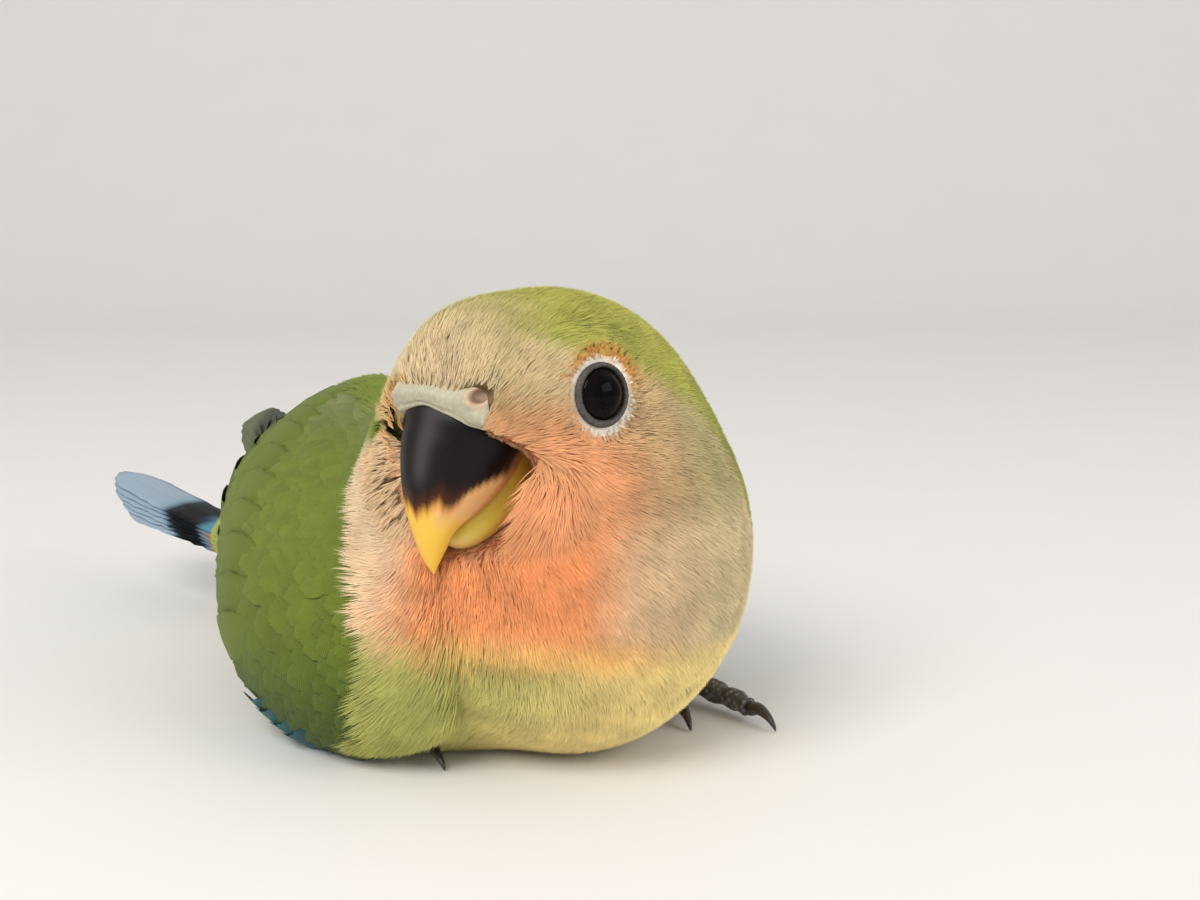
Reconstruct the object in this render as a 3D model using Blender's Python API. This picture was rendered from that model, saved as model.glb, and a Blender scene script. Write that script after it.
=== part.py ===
"""Young peach-faced lovebird lying on its belly, head turned to its right, at life size.

Frame: +Z up, the bird's body faces -Y and +X is the bird's own left. The floor is z = 0 and the
origin lies in the middle of the small flat under the belly. The head has a frame of its own: the
bill points along its -Y, and its +X is the bird's left.
"""

import math
import random

import bmesh
import bpy
import numpy as np
from mathutils import Matrix, Vector

MM = 0.001
GAP = 0.3 * MM
FLOOR_CLEARANCE = 0.4 * MM
FLOOR_BEND = 1.0 * MM

# Head: its middle in the body frame, and how far it is turned to the bird's right.
HEAD_CENTRE = np.array([-4.4, -12.0, 37.3]) * MM
HEAD_TURN = math.radians(-77.0)

# Each form of the plumaged body in mm: middle, half sizes, and whether it turns with the head.
BODY_FORMS = {
    "breast": ((0.0, -8.5, 22.5), (20.5, 21.0, 23.0), False),
    "trunk": ((-1.0, 14.0, 19.3), (25.6, 36.0, 19.3), False),
    "belly": ((0.0, 3.0, 14.0), (16.0, 19.0, 14.7), False),
    "right_belly": ((-10.5, 0.5, 9.2), (12.5, 11.5, 9.8), False),
    "right_wrist": ((-19.0, 8.0, 13.0), (11.3, 20.5, 13.6), False),
    "left_wrist": ((17.5, 8.0, 13.0), (11.3, 20.5, 13.6), False),
    "rump": ((-1.5, 41.0, 16.5), (12.5, 20.0, 11.5), False),
    "vent": ((-4.5, 51.0, 11.5), (8.5, 12.0, 6.5), False),
    "neck": ((-2.0, -7.0, 30.0), (18.0, 17.0, 13.0), False),
    "skull": ((0.0, -0.9, 0.4), (14.2, 17.2, 14.0), True),
    "forehead": ((0.0, -9.5, 6.2), (8.2, 6.1, 6.4), True),
    "right_cheek": ((-6.0, -1.5, -6.5), (9.5, 12.5, 9.5), True),
    "left_cheek": ((6.0, -1.5, -6.5), (9.5, 12.5, 9.5), True),
}
BLEND = 5.0 * MM

# The face is hollowed round the root of the bill, in the head's frame.
FACE_HOLLOW = ((0.0, -19.5, -4.6), (10.4, 12.2, 9.8))

# The folded wing tips lie over the rump on this form, which only the wings follow.
WING_TIP_REST = ((0.0, 46.0, 26.0), (10.0, 25.0, 4.0))
AXIS_HEIGHT = 20.0 * MM
AXIS_HEIGHT_REAR = 26.0 * MM
AXIS_RISE = (30.0 * MM, 54.0 * MM)

# Head, neck and torso are parted by thin slanting cuts, this far below the head's middle.
NECK_NORMAL = np.array([-0.10, -0.62, 0.78]) / np.linalg.norm([-0.10, -0.62, 0.78])
HEAD_CUT = -8.8 * MM
TORSO_CUT = -13.6 * MM

# Eyes, in the head's frame: middle of the lid ring on the left side, and the way the eye looks.
EYE_RADIUS = 3.5 * MM
EYE_OPENING_RADIUS = 2.75 * MM
LID_MIDDLE = np.array([12.9, -5.9, 4.9]) * MM
EYE_TURN = math.radians(80.0)
EYE_WAY = np.array([math.sin(EYE_TURN), -math.cos(EYE_TURN), 0.12])
LID_RING_RADIUS = 3.15 * MM
LID_RING_THICKNESS = 0.5 * MM
EYE_FLAT = (3.6 * MM, 7.5 * MM)
EYE_FLAT_DEPTH = (5.0 * MM, 9.0 * MM)

# Bill, in the head's frame and mm: (forward, up) along its outer edge and along the line where its
# halves meet, and the half width at that line.
UPPER_BILL = {
    "outer": ((9.0, 3.2), (16.6, 4.2), (18.6, 1.4), (19.4, -2.4), (19.3, -6.2), (18.7, -9.6), (17.8, -12.0)),
    "meeting": ((6.0, 0.4), (10.4, -1.2), (11.6, -3.4), (13.1, -5.5), (14.7, -7.2), (15.8, -8.8), (16.4, -11.1)),
    "half_width": (5.6, 6.6, 6.0, 4.9, 3.7, 2.3, 1.2),
    "tip": (16.9, -13.5),
}
LOWER_BILL = {
    "outer": ((4.5, -7.0), (8.0, -9.4), (10.8, -11.1), (13.0, -11.6), (14.7, -10.8)),
    "meeting": ((5.6, -0.5), (9.7, -2.1), (10.9, -4.3), (12.4, -6.4), (14.0, -8.2)),
    "half_width": (4.0, 4.9, 4.5, 3.6, 2.2),
    "tip": (15.2, -9.9),
}
CERE_SWEEP = math.radians(98.0)
CERE_MIDDLE = (11.2, -0.2)
CERE_REACH = (6.2, 5.0, 5.0)
CERE_THICKNESS = 1.4
CERE_DEPTH = 1.9
NOSTRIL = np.array([4.2, -14.6, 4.7]) * MM
NOSTRIL_RADIUS = 0.75 * MM

# The wing's fleshy core as a cushion on the body: along the body, round it in degrees, and through it.
WING_MIDDLE = 18.0 * MM
WING_HALF_LENGTH = 24.0 * MM
WING_MIDDLE_ANGLE = (7.0, 50.0)
WING_HALF_ANGLE = (48.0, 34.0)
WING_OUTER = (0.9 * MM, -0.2 * MM)
WING_THICKNESS = (5.0 * MM, 2.6 * MM)
WING_FLATNESS = 0.45
BODY_GIRTH_RADIUS = 22.0 * MM
WING_ROOM = 0.45 * MM

# Tiers of wing feathers, root and tip of the first and the last as (along in mm, round in degrees).
WING_TIERS = {
    "primary": dict(count=6, root=((12.0, -25.0), (28.0, 12.0)), tip=((48.0, -18.0), (67.0, 24.0)),
                    width=6.2, level=(-0.6, 0.3), bow=-4.0),
    "secondary": dict(count=6, root=((10.0, -20.0), (24.0, 50.0)), tip=((36.0, -20.0), (50.0, 54.0)),
                      width=9.2, level=(-0.7, 0.6), bow=2.0),
    "tertial": dict(count=3, root=((18.0, 44.0), (22.0, 62.0)), tip=((44.0, 54.0), (52.0, 68.0)),
                    width=7.8, level=(-0.5, 1.0), bow=2.0),
    "primary_covert": dict(count=3, root=((1.0, -29.0), (9.0, -20.0)), tip=((14.0, -34.0), (23.0, -26.0)),
                           width=6.0, level=(-0.4, 0.9), bow=-2.0),
    "greater_covert": dict(count=5, root=((4.0, -12.0), (16.0, 50.0)), tip=((18.0, -16.0), (31.0, 62.0)),
                           width=10.4, level=(-0.3, 1.1), bow=2.0),
}
VANE_THICKNESS = 0.85 * MM
VANE_ROLL = math.radians(5.0)
VANE_STATIONS = (0.0, 0.3, 0.6, 0.86, 0.97)
VANE_FULLNESS = (0.72, 0.95, 1.0, 0.78, 0.42)

# The torso lies lower under the folded wing: bed's edges round the body in degrees, at each place along.
BED_ALONG = np.array([-9.0, 10.0, 30.0, 48.0, 58.0, 69.0]) * MM
BED_LOWEST = (-50.0, -50.0, -45.0, -38.0, -16.0, 6.0)
BED_HIGHEST = (52.0, 64.0, 84.0, 100.0, 100.0, 100.0)
BED_DEPTH = 1.5 * MM
BED_EDGE = 9.0

# Tail: closed and swung to the bird's right, a covert-clad root and the feathers that leave it.
TAIL_PIVOT = np.array([-3.3, 50.0, 8.2]) * MM
TAIL_SWING = math.radians(-18.5)
TAIL_RISE = math.radians(12.5)
TAIL_ROOT_MIDDLE = 8.5 * MM
TAIL_ROOT_RADII = (7.6, 10.0, 4.0)
TAIL_FEATHERS = 12
TAIL_SPREAD = math.radians(6.5)
TAIL_START = 6.0 * MM
TAIL_LENGTH = (42.5, 35.0)
TAIL_WIDTH = 7.2
TAIL_DROP = 2.0 * MM

# Legs and feet, in mm, for the left side and mirrored for the right.
THIGH = ((12.0, 7.0, 7.2), (5.4, 10.0, 6.2))
HEEL = (11.5, 8.5, 3.1)
FOOT_MIDDLE = (18.6, -3.6, 2.2)
TOES = {
    "toe_outer_front": ((19.6, -6.6, 2.6), (20.4, -10.0, 2.1), (20.8, -13.4, 1.9), (20.8, -15.8, 1.6)),
    "toe_inner_front": ((16.8, -5.6, 2.4), (15.2, -8.0, 2.0), (14.4, -10.4, 1.6)),
    "toe_outer_rear": ((20.8, -0.6, 2.3), (21.9, 3.2, 2.0), (22.2, 6.6, 1.6)),
    "toe_inner_rear": ((16.2, -1.8, 2.2), (14.1, -0.8, 1.9), (12.3, 0.1, 1.6)),
}
RIGHT_FOOT_SHIFT = (4.4, 11.0, 0.0)
TARSUS_RADIUS = 1.75
TOE_RADIUS = 1.55
CLAW_LENGTH = 4.6
CLAW_RADIUS = 0.85
FOOT_ROOM = ((16.8, -4.6, 0.0), (10.4, 19.5, 6.4))

COLOURS = {
    "torso": ((0.33, 0.42, 0.10), 0.85),
    "neck": ((0.80, 0.30, 0.12), 0.85),
    "head": ((0.66, 0.42, 0.24), 0.85),
    "cere": ((0.52, 0.58, 0.50), 0.55),
    "bill_upper": ((0.05, 0.03, 0.03), 0.30),
    "bill_lower": ((0.72, 0.62, 0.16), 0.35),
    "eye": ((0.008, 0.006, 0.006), 0.06),
    "wing": ((0.13, 0.24, 0.035), 0.80),
    "tail": ((0.16, 0.27, 0.30), 0.75),
    "leg": ((0.36, 0.44, 0.14), 0.85),
    "foot": ((0.13, 0.12, 0.12), 0.60),
    "claw": ((0.03, 0.03, 0.03), 0.35),
}


def head_to_body(points):
    """Points of the head's own frame, in the body frame."""
    p = np.atleast_2d(points)
    c, s = math.cos(HEAD_TURN), math.sin(HEAD_TURN)
    return HEAD_CENTRE + np.stack([c * p[:, 0] - s * p[:, 1], s * p[:, 0] + c * p[:, 1], p[:, 2]], axis=1)


def body_to_head(points):
    """Points of the body frame, in the head's own frame."""
    p = np.atleast_2d(points) - HEAD_CENTRE
    c, s = math.cos(HEAD_TURN), math.sin(HEAD_TURN)
    return np.stack([c * p[:, 0] + s * p[:, 1], -s * p[:, 0] + c * p[:, 1], p[:, 2]], axis=1)


def ellipsoid_distance(points, centre, radii):
    """About how far each point lies outside an ellipsoid."""
    q = (points - centre) / radii
    k0 = np.linalg.norm(q, axis=1)
    k1 = np.linalg.norm(q / radii, axis=1)
    return k0 * (k0 - 1.0) / np.maximum(k1, 1e-9)


def smooth_least(a, b, blend):
    """The smaller of two distances, with the crease between them rounded."""
    h = np.clip(0.5 + 0.5 * (b - a) / blend, 0.0, 1.0)
    return b * (1 - h) + a * h - blend * h * (1 - h)


def eased(share):
    """A share kept between 0 and 1, with a soft start and end."""
    share = np.clip(share, 0.0, 1.0)
    return share * share * (3 - 2 * share)


def eye_frame(side):
    """Middle of the lid ring and the eye's way out, in the head's frame, on one side."""
    way = EYE_WAY / np.linalg.norm(EYE_WAY)
    mirror = np.array([side, 1.0, 1.0])
    return LID_MIDDLE * mirror, way * mirror


def flat_round_eyes(in_head, found):
    """The distance with the plumage pressed flat round each eye, so that the lids stand free."""
    for side in (1.0, -1.0):
        middle, way = eye_frame(side)
        from_eye = in_head - middle
        out = from_eye @ way
        aside = np.linalg.norm(from_eye - np.outer(out, way), axis=1)
        near = eased((EYE_FLAT[1] - aside) / (EYE_FLAT[1] - EYE_FLAT[0]))
        near = near * eased((EYE_FLAT_DEPTH[1] + out) / (EYE_FLAT_DEPTH[1] - EYE_FLAT_DEPTH[0]))
        found = found * (1 - near) + out * near
    return found


def body_distance(points):
    """About how far each point lies outside the whole plumaged body."""
    points = np.atleast_2d(points)
    in_head = body_to_head(points)
    found = None
    for centre, radii, turns in BODY_FORMS.values():
        source = in_head if turns else points
        d = ellipsoid_distance(source, np.array(centre) * MM, np.array(radii) * MM)
        found = d if found is None else smooth_least(found, d, BLEND)
    return flat_round_eyes(in_head, found)


def wing_distance(points):
    """The body's distance with the rest of the wing tips blended in."""
    centre, radii = WING_TIP_REST
    rest = ellipsoid_distance(np.atleast_2d(points), np.array(centre) * MM, np.array(radii) * MM)
    return smooth_least(body_distance(points), rest, BLEND)


def along_rays(starts, ways, level=0.0, distance=body_distance, reach=75 * MM, steps=75):
    """The outermost place on each ray where the distance is `level`."""
    level = np.broadcast_to(np.asarray(level, float), (len(starts),))
    low = np.zeros(len(starts))
    high = np.full(len(starts), reach)
    found = np.zeros(len(starts), bool)
    for i in range(steps, 0, -1):
        t = reach * (i - 1) / steps
        new = (distance(starts + ways * t) < level) & ~found
        low[new] = t
        high[new] = t + reach / steps
        found |= new
    for _ in range(22):
        middle = (low + high) / 2
        inside = distance(starts + ways * middle[:, None]) < level
        low = np.where(inside, middle, low)
        high = np.where(inside, high, middle)
    return starts + ways * ((low + high) / 2)[:, None]


def outward(points, distance):
    """The unit way in which the distance grows at each point."""
    step = 0.2 * MM
    slope = [distance(points + way) - distance(points - way) for way in np.eye(3) * step]
    slope = np.stack(slope, axis=1)
    return slope / np.linalg.norm(slope, axis=1)[:, None]


def axis_height(along):
    """Height of the line inside the body that the wings' chart turns about."""
    share = np.clip((along - AXIS_RISE[0]) / (AXIS_RISE[1] - AXIS_RISE[0]), 0.0, 1.0)
    return AXIS_HEIGHT + (AXIS_HEIGHT_REAR - AXIS_HEIGHT) * share * share * (3 - 2 * share)


def on_side(side, along, angle, level):
    """The place on one side of the body: how far along it, how far round it, and how far outside it."""
    along = np.asarray(along, float)
    starts = np.stack([np.zeros_like(along), along, axis_height(along)], axis=1)
    turn = np.radians(angle)
    ways = np.stack([side * np.cos(turn), np.zeros_like(along), np.sin(turn)], axis=1)
    return along_rays(starts, ways, level, wing_distance)


def new_object(name, mesh):
    obj = bpy.data.objects.new(name, mesh)
    bpy.context.scene.collection.objects.link(obj)
    return obj


def mesh_object(name, bm):
    """An object from a bmesh, with its faces turned outward."""
    bmesh.ops.recalc_face_normals(bm, faces=bm.faces)
    mesh = bpy.data.meshes.new(name)
    bm.to_mesh(mesh)
    bm.free()
    return new_object(name, mesh)


def moulded(name, around, rings, shape, pole="Y"):
    """A UV sphere whose points, as unit directions, are moved to where `shape` puts them."""
    bm = bmesh.new()
    bmesh.ops.create_uvsphere(bm, u_segments=around, v_segments=rings, radius=1.0)
    if pole == "Y":
        bmesh.ops.rotate(bm, cent=(0, 0, 0), matrix=Matrix.Rotation(math.radians(90), 3, "X"), verts=bm.verts)
    directions = np.array([v.co[:] for v in bm.verts])
    directions /= np.linalg.norm(directions, axis=1)[:, None]
    for vert, place in zip(bm.verts, shape(directions)):
        vert.co = place
    return mesh_object(name, bm)


def lofted(name, rings, tip=None):
    """A closed loft through rings of equal count, with a point for its end where `tip` is given.

    The diagonals alternate round each ring, so a thin blade is split alike on both faces.
    """
    bm = bmesh.new()
    rows = [[bm.verts.new(p) for p in ring] for ring in rings]
    count = len(rows[0])
    for near, far in zip(rows, rows[1:]):
        for i in range(count):
            j = (i + 1) % count
            if i % 2 == 0:
                bm.faces.new((near[i], near[j], far[j]))
                bm.faces.new((near[i], far[j], far[i]))
            else:
                bm.faces.new((near[i], near[j], far[i]))
                bm.faces.new((near[j], far[j], far[i]))
    bm.faces.new(rows[0][::-1])
    if tip is None:
        bm.faces.new(rows[-1])
    else:
        end = bm.verts.new(tip)
        for i in range(count):
            bm.faces.new((rows[-1][i], rows[-1][(i + 1) % count], end))
    return mesh_object(name, bm)


def largest_only(obj):
    """Keeps the closed surface of this object that encloses most."""
    bm = bmesh.new()
    bm.from_mesh(obj.data)
    left = set(bm.faces)
    shells = []
    while left:
        stack = [left.pop()]
        shell = list(stack)
        while stack:
            for edge in stack.pop().edges:
                for face in edge.link_faces:
                    if face in left:
                        left.remove(face)
                        stack.append(face)
                        shell.append(face)
        shells.append(shell)
    shells.sort(key=lambda shell: sum(face.calc_area() for face in shell))
    loose = [face for shell in shells[:-1] for face in shell]
    bmesh.ops.delete(bm, geom=loose, context="FACES")
    bm.to_mesh(obj.data)
    bm.free()


def combine(obj, others, operation, solver="EXACT"):
    """Joins closed pieces to an object, or cuts them out of it, and removes them."""
    group = bpy.data.collections.new("pieces")
    bpy.context.scene.collection.children.link(group)
    for other in others:
        group.objects.link(other)
    modifier = obj.modifiers.new("combine", "BOOLEAN")
    modifier.operand_type = "COLLECTION"
    modifier.collection = group
    modifier.operation = operation
    modifier.solver = solver
    graph = bpy.context.evaluated_depsgraph_get()
    mesh = bpy.data.meshes.new_from_object(obj.evaluated_get(graph))
    obj.modifiers.clear()
    obj.data = mesh
    for other in others:
        bpy.data.objects.remove(other, do_unlink=True)
    bpy.data.collections.remove(group)
    largest_only(obj)
    return obj


def sliced(obj, place, normal):
    """Cuts off all of a closed object that lies on the normal's side of a plane."""
    bm = bmesh.new()
    bm.from_mesh(obj.data)
    geometry = bm.verts[:] + bm.edges[:] + bm.faces[:]
    cut = bmesh.ops.bisect_plane(bm, geom=geometry, plane_co=place, plane_no=normal, clear_outer=True)
    edges = [item for item in cut["geom_cut"] if isinstance(item, bmesh.types.BMEdge)]
    bmesh.ops.holes_fill(bm, edges=edges)
    bm.to_mesh(obj.data)
    bm.free()
    return obj


def ellipsoid(name, centre, radii, around=20, rings=12, grow=0.0, lowest=None):
    """An ellipsoid given in mm, grown by a distance, with its underside flat where `lowest` is given."""
    def shape(directions):
        points = np.array(centre) * MM + directions * (np.array(radii) * MM + grow)
        if lowest is not None:
            points[:, 2] = np.maximum(points[:, 2], lowest)
        return points
    return moulded(name, around, rings, shape)


def wing_bed(points):
    """How much of the wing bed's depth holds at each point of the torso, from 0 to 1."""
    around = np.degrees(np.arctan2(points[:, 2] - axis_height(points[:, 1]), np.abs(points[:, 0])))
    above = around - np.interp(points[:, 1], BED_ALONG, BED_LOWEST)
    below = np.interp(points[:, 1], BED_ALONG, BED_HIGHEST) - around
    behind = (points[:, 1] - BED_ALONG[0]) / MM * 3.0
    before = (BED_ALONG[-1] - points[:, 1]) / MM * 3.0
    inside = np.minimum(np.minimum(above, below), np.minimum(behind, before))
    return eased(inside / BED_EDGE)


def trunk_shape(directions):
    """Rays leave a line inside the body that runs from the breast to the rump."""
    share = eased((directions[:, 1] + 1) / 2)
    front = np.array([0.0, -7.0, 21.0]) * MM
    rear = np.array([0.0, 48.0, 20.0]) * MM
    starts = front + (rear - front) * share[:, None]
    points = along_rays(starts, directions)
    points = along_rays(starts, directions, -BED_DEPTH * wing_bed(points))
    points[:, 2] = np.maximum(points[:, 2], 0.0)
    return points


def head_shape(directions):
    """Rays leave the head's middle, in the head's own frame."""
    c, s = math.cos(HEAD_TURN), math.sin(HEAD_TURN)
    ways = np.stack([c * directions[:, 0] - s * directions[:, 1],
                     s * directions[:, 0] + c * directions[:, 1], directions[:, 2]], axis=1)
    return along_rays(np.repeat(HEAD_CENTRE[None], len(ways), axis=0), ways)


def neck(name):
    """A slab between the two slanting cuts, ring by ring on the body's surface."""
    sides = 36
    levels = 4
    sideways = np.cross([0.0, 1.0, 0.0], NECK_NORMAL)
    sideways /= np.linalg.norm(sideways)
    forward = np.cross(NECK_NORMAL, sideways)
    turn = np.arange(sides) * 2 * math.pi / sides
    ways = np.outer(np.cos(turn), sideways) + np.outer(np.sin(turn), forward)
    middle = HEAD_CENTRE + np.array([3.0, 6.0, 0.0]) * MM
    middle = middle - NECK_NORMAL * np.dot(middle - HEAD_CENTRE, NECK_NORMAL)
    rings = []
    for i in range(levels):
        low = TORSO_CUT + GAP / 2
        high = HEAD_CUT - GAP / 2
        start = middle + NECK_NORMAL * (low + (high - low) * i / (levels - 1))
        rings.append(along_rays(np.repeat(start[None], sides, axis=0), ways))
    return lofted(name, rings)


def eye(name, side, grow=0.0):
    middle, way = eye_frame(side)
    depth = math.sqrt(EYE_RADIUS ** 2 - EYE_OPENING_RADIUS ** 2)
    centre = head_to_body(middle - way * depth)[0]
    return moulded(name, 16, 10, lambda directions: centre + directions * (EYE_RADIUS + grow), pole="Z")


def lid_ring(name, side):
    """The bare ring of lids round an eye, a torus that sits half in the head."""
    middle, way = eye_frame(side)
    place = head_to_body(middle)[0]
    facing = head_to_body(middle + way)[0] - place
    turn = Vector(facing).to_track_quat("Z", "Y").to_matrix()
    around, across = 24, 6
    rings = []
    for i in range(around):
        a = 2 * math.pi * i / around
        out = np.array(turn @ Vector((math.cos(a), math.sin(a), 0.0)))
        up = np.array(turn @ Vector((0.0, 0.0, 1.0)))
        ring = []
        for j in range(across):
            b = 2 * math.pi * j / across
            radius = LID_RING_RADIUS + LID_RING_THICKNESS * math.cos(b)
            ring.append(place + out * radius + up * LID_RING_THICKNESS * math.sin(b))
        rings.append(ring)
    bm = bmesh.new()
    rows = [[bm.verts.new(p) for p in ring] for ring in rings]
    for i in range(around):
        near, far = rows[i], rows[(i + 1) % around]
        for j in range(across):
            k = (j + 1) % across
            bm.faces.new((near[j], near[k], far[k], far[j]))
    return mesh_object(name, bm)


def bill(name, form, grow=0.0):
    """A half of the bill: arched sections, flat where the halves meet, from its root to its tip."""
    around = 13
    rings = []
    for outer, meeting, half_width in zip(form["outer"], form["meeting"], form["half_width"]):
        outer, meeting = np.array(outer), np.array(meeting)
        arch = outer - meeting
        size = np.linalg.norm(arch)
        ring = []
        for i in range(around):
            a = math.pi * (i / (around - 1) - 0.5)
            high = math.cos(a) ** 0.9 * (size + grow / MM)
            forward, up = meeting + arch / size * (high - grow / MM * 0.9)
            if grow and 0 < i < around - 1:
                forward, up = meeting + arch / size * high
            ring.append((math.sin(a) * (half_width + grow / MM), -forward, up))
        rings.append(head_to_body(np.array(ring) * MM))
    tip = np.array(form["tip"])
    way = tip - np.array(form["outer"][-1])
    tip = tip + way / np.linalg.norm(way) * grow / MM
    return lofted(name, rings, head_to_body(np.array((0.0, -tip[0], tip[1])) * MM)[0])


def cere(name, grow=0.0):
    """The band of bare skin over the root of the bill, thickest at the nostrils."""
    stations, across = 15, 6
    rings = []
    for i in range(stations):
        a = -CERE_SWEEP + 2 * CERE_SWEEP * i / (stations - 1)
        swell = 1.0 + 0.7 * math.exp(-((abs(a) - math.radians(42.0)) / math.radians(18.0)) ** 2)
        fade = math.sqrt(max(math.cos(a / CERE_SWEEP * math.radians(84.0)), 0.05))
        out = np.array([math.sin(a), -0.3 * math.cos(a), math.cos(a)])
        out /= np.linalg.norm(out)
        middle = np.array([CERE_REACH[0] * math.sin(a), -CERE_MIDDLE[0] - CERE_REACH[1] * math.cos(a),
                           CERE_MIDDLE[1] + CERE_REACH[2] * math.cos(a)])
        ring = []
        for j in range(across):
            b = 2 * math.pi * j / across
            thick = (CERE_THICKNESS * swell * fade + grow / MM) * math.cos(b)
            deep = (CERE_DEPTH * fade + grow / MM) * math.sin(b)
            ring.append(middle + out * thick + np.array([0.0, deep, 0.0]))
        rings.append(head_to_body(np.array(ring) * MM))
    return lofted(name, rings)


def nostril(name, side):
    """A short pit in the cere on one side."""
    place = head_to_body(NOSTRIL * np.array([side, 1.0, 1.0]))[0]
    return moulded(name, 10, 6, lambda directions: place + directions * NOSTRIL_RADIUS, pole="Z")


def face_hollow(name):
    """What is hollowed out of the face round the root of the bill."""
    centre, radii = (np.array(item) * MM for item in FACE_HOLLOW)
    return moulded(name, 24, 14, lambda directions: head_to_body(centre + directions * radii))


def bill_room():
    """What the face and throat leave free for the bill."""
    return [face_hollow("cut"), bill("cut", UPPER_BILL, GAP), bill("cut", LOWER_BILL, GAP)]


def lifted(obj, lowest):
    """Bends an object smoothly up where it would reach below a height."""
    for vert in obj.data.vertices:
        above = vert.co.z - lowest
        vert.co.z = lowest + (above + math.hypot(above, FLOOR_BEND)) / 2
    return obj


def between(pair, share):
    """A value from the first of a pair to the second."""
    first, last = np.array(pair[0]), np.array(pair[1])
    return first + (last - first) * share


def wing_core(name, side, grow=0.0):
    """A flat cushion that wraps one side of the body, deeper at the arm than at the rear."""
    def shape(directions):
        along = WING_MIDDLE + (WING_HALF_LENGTH + grow) * directions[:, 1]
        share = (directions[:, 1] + 1) / 2
        more = math.degrees(grow / BODY_GIRTH_RADIUS)
        angle = between(WING_MIDDLE_ANGLE, share) + (between(WING_HALF_ANGLE, share) + more) * directions[:, 2]
        half = between(WING_THICKNESS, share) / 2 + grow
        middle = between(WING_OUTER, share) - between(WING_THICKNESS, share) / 2
        swell = np.sign(directions[:, 0]) * np.abs(directions[:, 0]) ** WING_FLATNESS
        return on_side(side, along, angle, middle + half * swell * side)
    return lifted(moulded(name, 22, 12, shape), FLOOR_CLEARANCE - grow)


def vane(name, centres, normals, width, roll):
    """One feather: a thin tapered blade with a raised shaft, along the points given."""
    ways = np.gradient(centres, axis=0)
    ways /= np.linalg.norm(ways, axis=1)[:, None]
    rings = []
    for k, (place, normal, way, fullness) in enumerate(zip(centres, normals, ways, VANE_FULLNESS)):
        across = np.cross(normal, way)
        across /= np.linalg.norm(across)
        up = np.cross(way, across)
        half = width * MM * fullness / 2
        droop = up * half * half / (44.0 * MM)
        lean = up * half * math.tan(roll)
        thick = up * VANE_THICKNESS / 2 * (1.0 if k < len(centres) - 2 else 0.7)
        rings.append([place + thick, place + across * half - droop + lean,
                      place - thick, place - across * half - droop - lean])
    tip = centres[-1] + ways[-1] * width * MM * 0.16
    return lofted(name, rings, tip)


def wing_vanes(side):
    """All flight feathers and coverts of one wing, tier by tier."""
    draw = random.Random(11 if side > 0 else 7)
    vanes = []
    for tier, spec in WING_TIERS.items():
        for i in range(spec["count"]):
            share = i / (spec["count"] - 1)
            root, tip = between(spec["root"], share), between(spec["tip"], share)
            tip = tip + np.array([draw.uniform(-0.6, 0.6), draw.uniform(-0.6, 0.6)])
            s = np.array(VANE_STATIONS)
            along = (root[0] + (tip[0] - root[0]) * s) * MM
            angle = root[1] + (tip[1] - root[1]) * s + spec["bow"] * np.sin(math.pi * s)
            rise = np.clip(s / 0.6, 0.0, 1.0)
            level = (spec["level"][0] + (spec["level"][1] - spec["level"][0]) * rise) * MM
            centres = on_side(side, along, angle, level)
            normals = outward(centres, wing_distance)
            width = spec["width"] * draw.uniform(0.95, 1.05)
            piece = vane(f"{tier}_{i}", centres, normals, width, VANE_ROLL * side)
            vanes.append(lifted(piece, FLOOR_CLEARANCE))
    return vanes


def wing(name, side):
    """The core and its feathers as one piece that stops at the middle of the back."""
    obj = combine(wing_core(name, side), wing_vanes(side), "UNION")
    return sliced(obj, (side * GAP / 2, 0.0, 0.0), (-side, 0.0, 0.0))


def tail_way(turn=0.0):
    """The way the tail's feathers point, turned a little from the tail's own middle."""
    swing = TAIL_SWING + turn
    return np.array([math.sin(swing), math.cos(swing), math.tan(TAIL_RISE)])


def tail_root(name, grow=0.0):
    way = tail_way() / np.linalg.norm(tail_way())
    across = np.cross(way, [0.0, 0.0, 1.0])
    across /= np.linalg.norm(across)
    axes = np.stack([across, way, np.cross(across, way)])
    radii = np.array(TAIL_ROOT_RADII) * MM + grow
    centre = TAIL_PIVOT + way * TAIL_ROOT_MIDDLE
    return moulded(name, 18, 10, lambda directions: centre + (directions * radii) @ axes)


def tail(name):
    """Twelve overlapping feathers in a narrow fan, the middle ones longest and on top."""
    draw = random.Random(5)
    vanes = []
    half = (TAIL_FEATHERS - 1) / 2
    for i in range(TAIL_FEATHERS):
        out = (i - half) / half
        way = tail_way(TAIL_SPREAD * out)
        way /= np.linalg.norm(way)
        length = TAIL_LENGTH[0] + (TAIL_LENGTH[1] - TAIL_LENGTH[0]) * abs(out) ** 1.4
        length = length * draw.uniform(0.985, 1.015) * MM
        s = np.array(VANE_STATIONS)
        far = TAIL_START + (length - TAIL_START) * s
        centres = TAIL_PIVOT + np.outer(far, way)
        centres[:, 2] -= TAIL_DROP * abs(out) * (0.35 + 0.65 * s)
        normals = np.tile(np.array([0.16 * out, 0.0, 1.0]), (len(s), 1))
        roll = math.radians(6.0) * (-1.0 if out > 0 else 1.0)
        vanes.append(vane(f"rectrix_{i}", centres, normals, TAIL_WIDTH, roll))
    return combine(tail_root(name), vanes, "UNION")


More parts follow.
